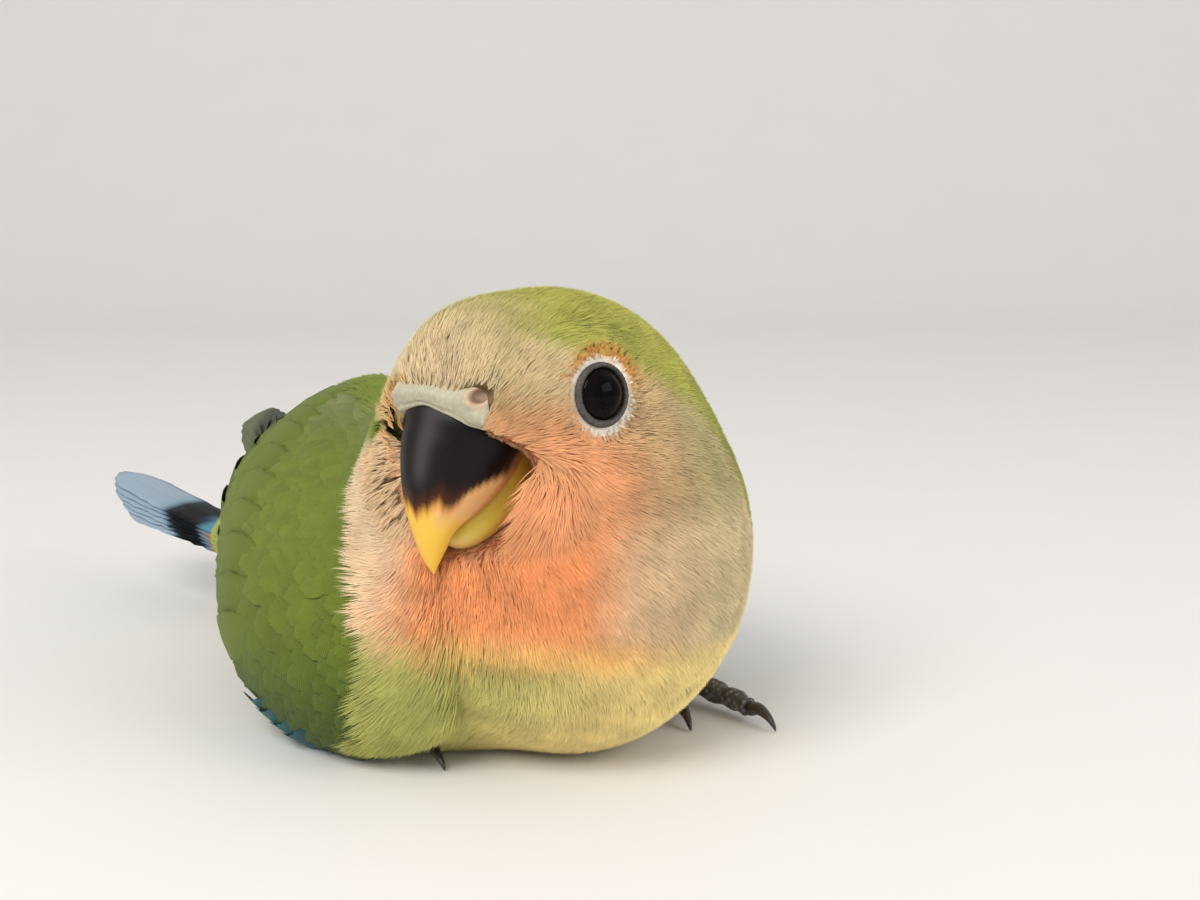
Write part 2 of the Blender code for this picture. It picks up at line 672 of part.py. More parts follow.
def tube(name, path, radii, grow=0.0, sides=6):
    """A round tapered limb along a path in mm, flat where it meets the floor, with rounded ends."""
    path = np.array(path, float) * MM
    radii = np.array(radii, float) * MM + grow
    ways = np.gradient(path, axis=0)
    ways /= np.linalg.norm(ways, axis=1)[:, None]
    path[0] -= ways[0] * grow
    path[-1] += ways[-1] * grow
    rings = []
    for place, way, radius in zip(path, ways, radii):
        across = np.cross(way, [0.0, 0.0, 1.0])
        across /= np.linalg.norm(across)
        up = np.cross(across, way)
        ring = []
        for j in range(sides):
            a = 2 * math.pi * (j + 0.5) / sides
            point = place + across * radius * math.cos(a) + up * radius * math.sin(a)
            point[2] = max(point[2], 0.0)
            ring.append(point)
        rings.append(ring)
    return lofted(name, rings)


def foot_point(point, side):
    """A point of the left foot, in mm, on the side asked for."""
    shift = RIGHT_FOOT_SHIFT if side < 0 else (0.0, 0.0, 0.0)
    return np.array([side * (point[0] - shift[0]), point[1] + shift[1], point[2]])


def toe_path(points, side):
    """A toe's middle line in mm, from inside the foot, and its radii with a pad at each joint."""
    line = np.array([foot_point(FOOT_MIDDLE, side)] + [foot_point(p, side) for p in points])
    steps = np.linspace(0.0, len(line) - 1, 2 * len(line) - 1)
    path = np.stack([np.interp(steps, range(len(line)), line[:, k]) for k in range(3)], axis=1)
    taper = 1.0 - 0.28 * steps / steps[-1]
    pads = 1.0 + 0.10 * np.cos(2 * math.pi * steps)
    return path, TOE_RADIUS * taper * pads


def foot(name, side, grow=0.0):
    """Tarsus laid on the floor and four toes, two forward and two back."""
    heel = foot_point(HEEL, side)
    middle = foot_point(FOOT_MIDDLE, side)
    shank = [heel + (middle - heel) * s for s in (0.0, 0.2, 0.5, 0.8, 1.0)]
    widths = [TARSUS_RADIUS * w for w in (0.75, 1.1, 0.95, 1.05, 1.1)]
    pieces = []
    for toe, points in TOES.items():
        path, radii = toe_path(points, side)
        pieces.append(tube(toe, path, radii, grow))
    return combine(tube(name, shank, widths, grow), pieces, "UNION")


def foot_room(name, side):
    """The low hollow under the flank where a foot lies."""
    centre, radii = FOOT_ROOM
    return ellipsoid(name, foot_point(centre, side), radii, 20, 12)


def claw(name, points, side, grow=0.0):
    """A curved claw that meets the end of its toe and dips to the floor."""
    path, radii = toe_path(points, side)
    way = path[-1] - path[-2]
    way /= np.linalg.norm(way)
    start = path[-1] + way * (GAP / MM)
    line = []
    for s in (0.0, 0.35, 0.7, 0.92):
        arch = 0.9 * math.sin(math.pi * s) - 0.6 * s
        line.append(start + way * CLAW_LENGTH * s + np.array([0.0, 0.0, arch]))
    rings = []
    for place, size in zip(line, (1.0, 0.8, 0.5, 0.25)):
        across = np.cross(way, [0.0, 0.0, 1.0])
        across /= np.linalg.norm(across)
        radius = CLAW_RADIUS * size + grow / MM
        ring = []
        for j in range(6):
            a = 2 * math.pi * (j + 0.5) / 6
            point = place + across * radius * 0.8 * math.cos(a) + np.array([0.0, 0.0, radius * 1.15 * math.sin(a)])
            ring.append(np.array([point[0], point[1], max(point[2], 0.0)]) * MM)
        rings.append(ring)
    end = start + way * CLAW_LENGTH
    return lofted(name, rings, np.array([end[0], end[1], 0.12]) * MM)


def thigh(name, side, grow=0.0):
    centre, radii = THIGH
    return ellipsoid(name, foot_point(centre, side), radii, 16, 10, grow, FLOOR_CLEARANCE)


def finish_material(obj, key):
    """Gives an object its own plain material."""
    colour, roughness = COLOURS[key]
    material = bpy.data.materials.new(obj.name)
    material.use_nodes = True
    shader = material.node_tree.nodes["Principled BSDF"]
    shader.inputs["Base Color"].default_value = (*colour, 1.0)
    shader.inputs["Roughness"].default_value = roughness
    shader.inputs["Metallic"].default_value = 0.0
    material.diffuse_color = (*colour, 1.0)
    obj.data.materials.clear()
    obj.data.materials.append(material)
    obj.data.shade_smooth()
    obj.data.set_sharp_from_angle(angle=math.radians(40.0))


def clear_scene():
    for obj in list(bpy.data.objects):
        bpy.data.objects.remove(obj, do_unlink=True)


def main():
    clear_scene()
    bird = bpy.data.collections.new("lovebird")
    bpy.context.scene.collection.children.link(bird)
    sides = {"left": 1.0, "right": -1.0}
    made = {}

    made["bill_lower"] = bill("bill_lower", LOWER_BILL)
    made["bill_upper"] = bill("bill_upper", UPPER_BILL)
    pits = [nostril("pit", side) for side in sides.values()]
    made["cere"] = combine(cere("cere"), [bill("cut", UPPER_BILL, GAP)] + pits, "DIFFERENCE")

    head_cut = HEAD_CENTRE + NECK_NORMAL * (HEAD_CUT + GAP / 2)
    head = sliced(moulded("head", 34, 21, head_shape), head_cut, -NECK_NORMAL)
    combine(head, [lid_ring("lids", side) for side in sides.values()], "UNION")
    cutters = [eye("cut", side, GAP) for side in sides.values()]
    cutters += [wing_core("cut", side, WING_ROOM) for side in sides.values()]
    cutters += bill_room() + [cere("cut", GAP)]
    made["head"] = combine(head, cutters, "DIFFERENCE")

    cutters = bill_room() + [wing_core("cut", side, WING_ROOM) for side in sides.values()]
    made["neck"] = combine(neck("neck"), cutters, "DIFFERENCE")

    torso_cut = HEAD_CENTRE + NECK_NORMAL * (TORSO_CUT - GAP / 2)
    torso = sliced(moulded("torso", 36, 28, trunk_shape), torso_cut, NECK_NORMAL)
    cutters = bill_room() + [tail_root("cut", GAP)]
    for side in sides.values():
        cutters += [wing_core("cut", side, WING_ROOM), thigh("cut", side, GAP), foot_room("cut", side)]
    made["torso"] = combine(torso, cutters, "DIFFERENCE")
    made["tail"] = tail("tail")

    for word, side in sides.items():
        made[f"eye_{word}"] = eye(f"eye_{word}", side)
        made[f"wing_{word}"] = wing(f"wing_{word}", side)
        made[f"foot_{word}"] = foot(f"foot_{word}", side)
        cutters = [foot("cut", side, GAP), wing_core("cut", side, WING_ROOM)]
        cutters += [claw("cut", points, side, GAP) for points in TOES.values()]
        made[f"leg_{word}"] = combine(thigh(f"leg_{word}", side), cutters, "DIFFERENCE")
        for toe, points in TOES.items():
            name = f"claw_{word}_{toe[4:]}"
            made[name] = claw(name, points, side)

    for name, obj in made.items():
        key = name if name in COLOURS else name.split("_")[0]
        finish_material(obj, key)
        bpy.context.scene.collection.objects.unlink(obj)
        bird.objects.link(obj)


main()
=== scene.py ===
import math

import bmesh
import bpy
import numpy as np
from mathutils import Matrix, Vector


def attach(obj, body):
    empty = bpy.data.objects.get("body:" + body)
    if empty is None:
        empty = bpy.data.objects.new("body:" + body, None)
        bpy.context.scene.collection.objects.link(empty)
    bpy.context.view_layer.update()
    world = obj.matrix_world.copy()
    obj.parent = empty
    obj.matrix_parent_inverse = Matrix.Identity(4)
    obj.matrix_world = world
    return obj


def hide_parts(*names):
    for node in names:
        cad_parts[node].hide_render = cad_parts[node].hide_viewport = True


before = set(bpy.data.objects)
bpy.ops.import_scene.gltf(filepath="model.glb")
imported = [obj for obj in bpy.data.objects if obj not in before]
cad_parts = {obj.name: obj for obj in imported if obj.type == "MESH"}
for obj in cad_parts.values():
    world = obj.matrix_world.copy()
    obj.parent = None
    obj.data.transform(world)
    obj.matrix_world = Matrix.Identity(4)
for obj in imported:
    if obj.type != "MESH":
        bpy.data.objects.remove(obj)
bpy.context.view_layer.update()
mm = 0.001
sides = {"left": 1.0, "right": -1.0}


# ---- shape of the plumaged body, the same named forms as the solids (mm) ----
body = {
    "headMiddle": (-4.4, -12.0, 37.3),
    "headTurn": -77.0,
    "blend": 5.0,
    "forms": {  # middle, half sizes, turns with the head
        "breast": ((0.0, -8.5, 22.5), (20.5, 21.0, 23.0), False),
        "trunk": ((-1.0, 14.0, 19.3), (25.6, 36.0, 19.3), False),
        "belly": ((0.0, 3.0, 14.0), (16.0, 19.0, 14.7), False),
        "rightBelly": ((-10.5, 0.5, 9.2), (12.5, 11.5, 9.8), False),
        "rightWrist": ((-19.0, 8.0, 13.0), (11.3, 20.5, 13.6), False),
        "leftWrist": ((17.5, 8.0, 13.0), (11.3, 20.5, 13.6), False),
        "rump": ((-1.5, 41.0, 16.5), (12.5, 20.0, 11.5), False),
        "vent": ((-4.5, 51.0, 11.5), (8.5, 12.0, 6.5), False),
        "neck": ((-2.0, -7.0, 30.0), (18.0, 17.0, 13.0), False),
        "skull": ((0.0, -0.9, 0.4), (14.2, 17.2, 14.0), True),
        "forehead": ((0.0, -9.5, 6.2), (8.2, 6.1, 6.4), True),
        "rightCheek": ((-6.0, -1.5, -6.5), (9.5, 12.5, 9.5), True),
        "leftCheek": ((6.0, -1.5, -6.5), (9.5, 12.5, 9.5), True),
    },
    "billHollow": ((0.0, -18.3, -3.6), (11.2, 11.8, 8.1)), "hollowTop": (3.4, 0.42),
    "eyeFlat": (3.6, 7.5), "eyeFlatDepth": (5.0, 9.0),
    "neckWay": (-0.10, -0.62, 0.78),
    "wingTipRest": ((0.0, 46.0, 26.0), (10.0, 25.0, 4.0)),
    "skinVoxel": 0.75,
    "floorGap": 0.15,
}
headMiddle = np.array(body["headMiddle"]) * mm
headCos, headSin = math.cos(math.radians(body["headTurn"])), math.sin(math.radians(body["headTurn"]))
neckWay = np.array(body["neckWay"]) / np.linalg.norm(body["neckWay"])

tail = {
    "pivot": (-3.3, 50.0, 8.2), "swing": -18.5, "rise": 12.5,
    "rootMiddle": 8.5, "rootRadii": (7.6, 10.0, 4.0),
    "feathers": 12, "spread": 6.5, "start": 4.0, "length": (42.5, 35.0), "width": 7.2, "drop": 2.0,
    "stations": 26, "across": 9, "bandFrom": 0.44, "bandTo": 0.60,
}


def toHead(p):
    q = p - headMiddle
    return np.stack([headCos * q[:, 0] + headSin * q[:, 1], -headSin * q[:, 0] + headCos * q[:, 1], q[:, 2]], axis=1)


def fromHead(p):
    p = np.atleast_2d(p)
    return headMiddle + np.stack([headCos * p[:, 0] - headSin * p[:, 1], headSin * p[:, 0] + headCos * p[:, 1], p[:, 2]], axis=1)


def turnFromHead(w):
    return fromHead(w) - headMiddle


def tailWay(turn=0.0):
    swing = math.radians(tail["swing"]) + turn
    way = np.array([math.sin(swing), math.cos(swing), math.tan(math.radians(tail["rise"]))])
    return way / np.linalg.norm(way)


tailAcross = np.cross(tailWay(), [0.0, 0.0, 1.0])
tailAcross /= np.linalg.norm(tailAcross)
tailAxes = np.stack([tailAcross, tailWay(), np.cross(tailAcross, tailWay())])
tailRootMiddle = np.array(tail["pivot"]) * mm + tailWay() * tail["rootMiddle"] * mm


def ballGap(p, centre, radii):
    q = (p - centre) / radii
    k0 = np.sqrt((q * q).sum(axis=1))
    q /= radii
    k1 = np.sqrt((q * q).sum(axis=1))
    return k0 * (k0 - 1.0) / np.maximum(k1, 1e-9)


def softLeast(a, b, blend):
    h = np.clip(0.5 + 0.5 * (b - a) / blend, 0.0, 1.0)
    return b * (1 - h) + a * h - blend * h * (1 - h)


def smooth(a, b, x):
    t = np.clip((x - a) / (b - a), 0.0, 1.0)
    return t * t * (3 - 2 * t)


eyes = {
    "radius": 3.4, "opening": 2.62, "middle": (12.9, -5.9, 4.9), "turn": 80.0, "up": 0.12,
    "lidWidth": 0.66, "lidHeight": 0.36,
}


def eyeSpot(side):
    turn = math.radians(eyes["turn"])
    way = np.array([math.sin(turn), -math.cos(turn), eyes["up"]])
    flip = np.array([side, 1.0, 1.0])
    return np.array(eyes["middle"]) * mm * flip, way / np.linalg.norm(way) * flip


def hollowGap(inHead):  # distance to the hollow that the bill stands in: a ball under a sloping roof
    centre, radii = body["billHollow"]
    d = ballGap(inHead, np.array(centre) * mm, np.array(radii) * mm)
    height, slope = body["hollowTop"]
    roof = (inHead[:, 2] + slope * np.abs(inHead[:, 0]) - height * mm) / math.hypot(1.0, slope)
    return -softLeast(-d, -roof, 1.5 * mm)


def bodyGap(p, hollow=True):
    inHead = toHead(p)
    gap = None
    for centre, radii, turns in body["forms"].values():
        d = ballGap(inHead if turns else p, np.array(centre) * mm, np.array(radii) * mm)
        gap = d if gap is None else softLeast(gap, d, body["blend"] * mm)
    d = ballGap((p - tailRootMiddle) @ tailAxes.T, 0.0, np.array(tail["rootRadii"]) * mm)
    gap = softLeast(gap, d, 3.0 * mm)
    for side in sides.values():  # pressed flat round each eye
        middle, way = eyeSpot(side)
        fromEye = inHead - middle
        out = fromEye @ way
        aside = np.linalg.norm(fromEye - np.outer(out, way), axis=1)
        near = smooth(body["eyeFlat"][1] * mm, body["eyeFlat"][0] * mm, aside) * smooth(-body["eyeFlatDepth"][1] * mm, -body["eyeFlatDepth"][0] * mm, out)
        gap = gap * (1 - near) + out * near
    if hollow:
        gap = -softLeast(-gap, hollowGap(inHead), 2.0 * mm)
    return gap


def faceGap(p):
    return bodyGap(p, False)


def wingGap(p):
    centre, radii = body["wingTipRest"]
    return softLeast(bodyGap(p, False), ballGap(p, np.array(centre) * mm, np.array(radii) * mm), body["blend"] * mm)


def outward(p, gap=bodyGap):
    step = 0.15 * mm
    slope = np.stack([gap(p + way) - gap(p - way) for way in np.eye(3) * step], axis=1)
    return slope / np.maximum(np.linalg.norm(slope, axis=1), 1e-12)[:, None]


def unit(v):
    return v / np.maximum(np.linalg.norm(v, axis=-1, keepdims=True), 1e-12)


def along(way, normals):
    way = np.broadcast_to(way, normals.shape)
    return way - normals * (way * normals).sum(axis=1)[:, None]


cere = {
    "turns": (0.0, 16.0, 26.0, 36.0, 42.0, 50.0, 58.0, 64.0, 70.0), "height": -1.6,  # round the bill's root, in degrees
    "inner": (5.6, 5.5, 5.6, 5.9, 6.1, 6.4, 6.8, 7.1, 7.4), "outer": (7.4, 7.6, 7.9, 9.2, 9.5, 8.8, 8.0, 7.8, 7.8),
    "proud": 0.22, "wall": 4.5, "nostril": (5.9, -16.0, 5.1), "nostrilRadius": 0.62, "around": 190, "across": 48,
    # pit is painted shade: the dark colour in each nostril's opening
    "skin": "#ADA68D", "flake": "#CFC8AC", "rim": "#CDAB8A", "pit": "#3E2013",
}


def coatDepth(p):
    h = toHead(p)
    fromBill = np.linalg.norm(h - np.array([0.0, -13.0, -2.0]) * mm, axis=1)
    fromNeck = (p - headMiddle) @ neckWay
    deep = 0.75 + 0.75 * smooth(-8 * mm, -18 * mm, fromNeck)
    deep = deep * (0.45 + 0.55 * smooth(7 * mm, 14 * mm, fromBill))
    eyes = np.minimum(*[np.linalg.norm(h - eyeSpot(side)[0], axis=1) for side in sides.values()])
    deep = deep * (0.35 + 0.65 * smooth(3.6 * mm, 6.5 * mm, eyes))
    for side in sides.values():
        deep = deep + 1.8 * smooth(2.2, 0.9, np.linalg.norm(h / mm - np.array(cere["nostril"]) * [side, 1, 1], axis=1))
    return deep * mm


# ---- colour helpers ----
def paint(code):
    c = np.array([int(code[i:i + 2], 16) for i in (1, 3, 5)]) / 255.0
    return np.where(c <= 0.04045, c / 12.92, ((c + 0.055) / 1.055) ** 2.4)


def mixTo(base, colour, share):
    share = np.asarray(share)[..., None]
    return base * (1 - share) + colour * share


plumage = {
    "crown": "#B0AD52", "nape": "#9A994A", "forehead": "#D6BF90", "face": "#DAA878", "cheek": "#CFAD7E", "rearCheek": "#BEB07C",
    "bib": "#F7A368", "bibLight": "#EFA974", "bibEdge": "#F6C276", "breast": "#F2DA92", "breastGreen": "#B6B664",
    "flank": "#A2A84E", "fringe": "#EED6B0", "back": "#7B8936", "rump": "#4F8FB0", "vent": "#A8B05C",
    "eyeWhite": "#F4ECDA", "eyeOrange": "#E8874A",
}
plumage = {key: paint(code) for key, code in plumage.items()}


def fringeShare(p):  # the pale feathers that lap over the right wing's front edge
    x, y, z = (p / mm).T
    return smooth(-16.5, -20.0, x) * smooth(-13.5, -9.0, y) * smooth(4.0, 0.0, y) * smooth(15.0, 19.5, z) * smooth(37.0, 31.0, z)


def markings(p):
    h = toHead(p) / mm
    x, y, z = (p / mm).T
    hx, hy, hz = h.T
    turn = np.degrees(np.arctan2(np.abs(hx), -hy))  # 0 at the bill, 180 at the nape
    c = np.tile(plumage["face"], (len(p), 1))
    c = mixTo(c, plumage["cheek"], smooth(56, 84, turn))
    c = mixTo(c, plumage["rearCheek"], smooth(80, 112, turn))
    c = mixTo(c, plumage["forehead"], smooth(1.5, 5.5, hz) * smooth(84, 62, turn))
    bib = smooth(84, 50, turn) * smooth(4.0, -2.5, hz)
    c = mixTo(c, plumage["bibLight"], bib)
    c = mixTo(c, plumage["bib"], bib * smooth(72, 44, turn) * smooth(-4.0, -11.0, hz) * (1 - 0.9 * smooth(1.0, -6.0, hx)))
    # painted light: the lower side of the head is lightened towards the pale fringe colour, standing in for light on
    # its shaded side
    c = mixTo(c, plumage["fringe"], 0.45 * smooth(-4.0, -10.0, hz) * smooth(50.0, 70.0, turn))
    c = mixTo(c, plumage["fringe"], 0.5 * smooth(8.5, 4.0, np.linalg.norm(h - np.array([0.0, -17.0, 6.0]), axis=1)))
    pressed = smooth(-2.0, -5.0, hx) * smooth(-13.0, -8.0, hz) * smooth(3.0, 0.5, hz)  # the cheek that lies on the shoulder
    c = mixTo(c, (plumage["fringe"] + plumage["cheek"]) / 2, 0.85 * pressed)
    # green of the crown, down behind the eye to the nape
    edge = np.interp(hy, (-12.0, -8.7, -2.0, 1.0, 4.9, 9.1, 11.9, 14.0, 17.0), (9.6, 8.2, 6.9, 5.0, 3.2, 0.3, -3.7, -9.0, -14.0))
    atSide = smooth(4.0, 9.0, np.abs(hx))
    onTop = smooth(-18.0, -5.5, hy) * np.maximum(smooth(0.0, 4.0, hz), smooth(0.0, 6.0, hy))
    crown = onTop * (1 - atSide) + smooth(-1.8, 1.4, hz - edge) * atSide
    c = mixTo(c, plumage["crown"], crown)
    c = mixTo(c, plumage["nape"], crown * smooth(5.0, 13.0, hy))
    # breast, belly, back and rump
    below = mixTo(np.tile(plumage["breast"], (len(p), 1)), plumage["breastGreen"], smooth(-3.0, -20.0, x))
    below = mixTo(below, plumage["flank"], smooth(-6.0, 8.0, y))
    below = mixTo(below, plumage["vent"], smooth(30.0, 44.0, y))
    back = mixTo(np.tile(plumage["back"], (len(p), 1)), plumage["rump"], smooth(40.0, 48.0, y))
    below = mixTo(below, back, smooth(19.0, 27.0, z - 0.05 * y) * smooth(-12.0, -6.0, y))
    fromNeck = (p - headMiddle) @ neckWay / mm
    border = 17.2 - 0.08 * (x + 6.0)
    share = np.maximum(smooth(border + 1.6, border - 1.8, z), smooth(-9.0, -14.0, fromNeck) * smooth(-7.0, 0.0, y))
    share = np.maximum(share, smooth(-8.0, -12.0, x) * smooth(-13.0, -10.0, y) * smooth(33.0, 36.0, z) * smooth(3.0, 0.5, hz))
    c = mixTo(c, below, share)
    line = np.exp(-((z - border + 0.2) / 1.9) ** 2) * smooth(96, 60, turn) * smooth(2.0, -6.0, y) * smooth(-22.0, -15.0, x)
    c = mixTo(c, plumage["bibEdge"], line * 0.9)
    c = mixTo(c, plumage["fringe"], fringeShare(p) * 0.85)
    for side in sides.values():
        middle, way = eyeSpot(side)
        q = toHead(p) - middle
        r = np.linalg.norm(q - np.outer(q @ way, way), axis=1) / mm
        near = q @ way > -5 * mm
        above = smooth(-0.5, 2.0, q[:, 2] / mm)
        c = mixTo(c, plumage["eyeOrange"], near * smooth(5.2, 4.1, r) * above * 0.6)
        rim = 3.62 + 0.4 * smooth(0.5, -3.0, q[:, 2] / mm)
        c = mixTo(c, plumage["eyeWhite"], near * smooth(0.2, -0.1, r - rim))
    return c


# ---- materials ----
def newMaterial(name):
    m = bpy.data.materials.new(name)
    m.use_nodes = True
    nodes, links = m.node_tree.nodes, m.node_tree.links
    shader = nodes["Principled BSDF"]
    return m, nodes, links, shader


def plumeMaterial(name, roughness=0.8, sheen=0.06):
    m, nodes, links, shader = newMaterial(name)
    colour = nodes.new("ShaderNodeVertexColor")
    colour.layer_name = "plume"
    place = nodes.new("ShaderNodeTexCoord")
    patches = nodes.new("ShaderNodeTexNoise")
    patches.inputs["Scale"].default_value = 260.0
    patches.inputs["Detail"].default_value = 3.0
    shade = nodes.new("ShaderNodeMapRange")
    shade.inputs["From Min"].default_value = 0.3
    shade.inputs["From Max"].default_value = 0.7
    shade.inputs["To Min"].default_value = 0.86
    shade.inputs["To Max"].default_value = 1.12
    tint = nodes.new("ShaderNodeVectorMath")
    tint.operation = "SCALE"
    links.new(place.outputs["Object"], patches.inputs["Vector"])
    links.new(patches.outputs["Fac"], shade.inputs["Value"])
    links.new(colour.outputs["Color"], tint.inputs[0])
    links.new(shade.outputs["Result"], tint.inputs["Scale"])
    links.new(tint.outputs["Vector"], shader.inputs["Base Color"])
    shader.inputs["Roughness"].default_value = roughness
    shader.inputs["Sheen Weight"].default_value = sheen
    shader.inputs["Sheen Roughness"].default_value = 0.45
    shader.inputs["Specular IOR Level"].default_value = 0.12
    return m


def fastMesh(name, points, faces, colours=None, uvs=None, material=None, extraUv=None, smoothShade=True):
    mesh = bpy.data.meshes.new(name)
    sizes = np.concatenate([np.full(len(f), f.shape[1], np.int32) for f in faces])
    corners = np.concatenate([f.reshape(-1) for f in faces]).astype(np.int32)
    mesh.vertices.add(len(points))
    mesh.vertices.foreach_set("co", np.asarray(points, np.float32).reshape(-1))
    mesh.loops.add(len(corners))
    mesh.loops.foreach_set("vertex_index", corners)
    mesh.polygons.add(len(sizes))
    mesh.polygons.foreach_set("loop_start", (np.cumsum(sizes) - sizes).astype(np.int32))
    mesh.update(calc_edges=True)
    if colours is not None:
        layer = mesh.color_attributes.new("plume", "FLOAT_COLOR", "POINT")
        rgba = np.ones((len(points), 4), np.float32)
        rgba[:, :3] = np.clip(colours, 0.0, 1.0)
        layer.data.foreach_set("color", rgba.reshape(-1))
    if uvs is not None:
        layer = mesh.uv_layers.new(name="OFBake")
        layer.data.foreach_set("uv", np.asarray(uvs, np.float32)[corners].reshape(-1))
    if extraUv is not None:
        layer = mesh.uv_layers.new(name="vane")
        layer.data.foreach_set("uv", np.asarray(extraUv, np.float32)[corners].reshape(-1))
    if smoothShade:
        mesh.polygons.foreach_set("use_smooth", np.ones(len(sizes), bool))
    obj = bpy.data.objects.new(name, mesh)
    bpy.context.scene.collection.objects.link(obj)
    if material is not None:
        mesh.materials.append(material)
    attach(obj, "root")
    return obj


# ---- one skin under all the plumage ----
def skinPlace(p):  # unwrap of the skin's own shape: the body round its length, the head round its middle
    q = p / mm
    onAxis = np.clip(q[:, 1], -7.0, 48.0)
    beyond = q[:, 1] - onAxis
    radius = np.hypot(q[:, 0], q[:, 2] - 20.5)
    v = (onAxis + 7.0 + 24.0 * np.arctan2(beyond, radius) + 38.0) / 131.0
    u = (np.arctan2(q[:, 0], -(q[:, 2] - 20.5)) / (2 * math.pi) + 0.5)
    bodyUv = np.stack([0.01 + 0.60 * u, 0.02 + 0.96 * v], axis=1)
    h = toHead(p) / mm
    u = np.arctan2(h[:, 0], -h[:, 1]) / (2 * math.pi) + 0.5
    v = np.arctan2(h[:, 2] + 2.0, np.hypot(h[:, 0], h[:, 1])) / math.pi + 0.5
    headUv = np.stack([0.63 + 0.36 * u, 0.02 + 0.96 * v], axis=1)
    isHead = (p - headMiddle) @ neckWay > -9.5 * mm
    return np.where(isHead[:, None], headUv, bodyUv), isHead


def makeSkin():
    bm = bmesh.new()
    turn = Matrix.Rotation(math.radians(body["headTurn"]), 4, "Z")
    for centre, radii, turns in body["forms"].values():
        middle = Vector(fromHead(np.array(centre) * mm)[0]) if turns else Vector(centre) * mm
        place = Matrix.Translation(middle) @ (turn if turns else Matrix()) @ Matrix.Diagonal((*radii, 1.0)) @ Matrix.Scale(mm, 4)
        place = Matrix.Translation(middle) @ (turn if turns else Matrix()) @ Matrix.Diagonal((radii[0] * mm, radii[1] * mm, radii[2] * mm, 1.0))
        bmesh.ops.create_uvsphere(bm, u_segments=48, v_segments=32, radius=1.0, matrix=place)
    axes = Matrix(tailAxes.T.tolist()).to_4x4()
    place = Matrix.Translation(Vector(tailRootMiddle)) @ axes @ Matrix.Diagonal((*[r * mm for r in tail["rootRadii"]], 1.0))
    bmesh.ops.create_uvsphere(bm, u_segments=32, v_segments=20, radius=1.0, matrix=place)
    mesh = bpy.data.meshes.new("skin")
    bm.to_mesh(mesh)
    bm.free()
    obj = bpy.data.objects.new("skin", mesh)
    bpy.context.scene.collection.objects.link(obj)
    bm = bmesh.new()
    centre, radii = body["billHollow"]
    place = Matrix.Translation(Vector(fromHead(np.array(centre) * mm)[0])) @ turn @ Matrix.Diagonal((*[r * mm for r in radii], 1.0))
    bmesh.ops.create_uvsphere(bm, u_segments=48, v_segments=32, radius=1.0, matrix=place)
    cutMesh = bpy.data.meshes.new("hollow")
    bm.to_mesh(cutMesh)
    bm.free()
    cutter = bpy.data.objects.new("hollow", cutMesh)
    bpy.context.scene.collection.objects.link(cutter)
    first = obj.modifiers.new("merge", "REMESH")
    first.mode = "VOXEL"
    first.voxel_size = 1.0 * mm
    cut = obj.modifiers.new("bill", "BOOLEAN")
    cut.operation = "DIFFERENCE"
    cut.object = cutter
    cut.solver = "EXACT"
    last = obj.modifiers.new("even", "REMESH")
    last.mode = "VOXEL"
    last.voxel_size = body["skinVoxel"] * mm
    graph = bpy.context.evaluated_depsgraph_get()
    done = bpy.data.meshes.new_from_object(obj.evaluated_get(graph))
    for item in (obj, cutter):
        bpy.data.objects.remove(item, do_unlink=True)
    count = len(done.vertices)
    p = np.empty(count * 3)
    done.vertices.foreach_get("co", p)
    p = p.reshape(-1, 3)
    depth = coatDepth(p)
    for i in range(5):
        p = p - outward(p) * ((bodyGap(p) + depth) * 0.95)[:, None]
    p[:, 2] = np.maximum(p[:, 2], body["floorGap"] * mm)
    done.vertices.foreach_set("co", p.reshape(-1))
    done.update()
    done.calc_loop_triangles()
    tris = np.empty(len(done.loop_triangles) * 3, np.int32)
    done.loop_triangles.foreach_get("vertices", tris)
    tris = tris.reshape(-1, 3)
    bpy.data.meshes.remove(done)
    return p, tris


skinPoints, skinTris = makeSkin()
print("skin", len(skinPoints), "points")


def dressSkin():
    corner = skinPoints[skinTris]
    middles = corner.mean(axis=1)
    _, isHead = skinPlace(middles)
    flat = skinTris.reshape(-1)
    uvs = np.empty((len(flat), 2))
    bodyUv, headUv = skinPlaceBoth(skinPoints)
    uvs = np.where(np.repeat(isHead, 3)[:, None], headUv[flat], bodyUv[flat]).reshape(-1, 3, 2)
    for low, wide in ((0.01, 0.60), (0.63, 0.36)):  # faces that cross the unwrap's seam
        jump = (uvs[:, :, 0].max(axis=1) - uvs[:, :, 0].min(axis=1) > wide * 0.5) & (uvs[:, 0, 0] < 0.62 if low < 0.5 else uvs[:, 0, 0] > 0.62)
        part = uvs[jump]
        part[:, :, 0] = np.where(part[:, :, 0] < low + wide * 0.5, part[:, :, 0] + wide, part[:, :, 0])
        uvs[jump] = part
    m = plumeMaterial("underPlumage", 0.85, 0.1)
    # painted shade: the skin under the plumage takes the coat's markings 8% darker, standing in for the shade between
    # the feathers
    skin = fastMesh("skin", skinPoints, [skinTris], markings(skinPoints) * 0.92, None, m)
    layer = skin.data.uv_layers.new(name="OFBake")
    layer.data.foreach_set("uv", np.clip(uvs, 0.0, 1.0).astype(np.float32).reshape(-1))
    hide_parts("head", "neck", "torso", "leg_left", "leg_right")
    return skin


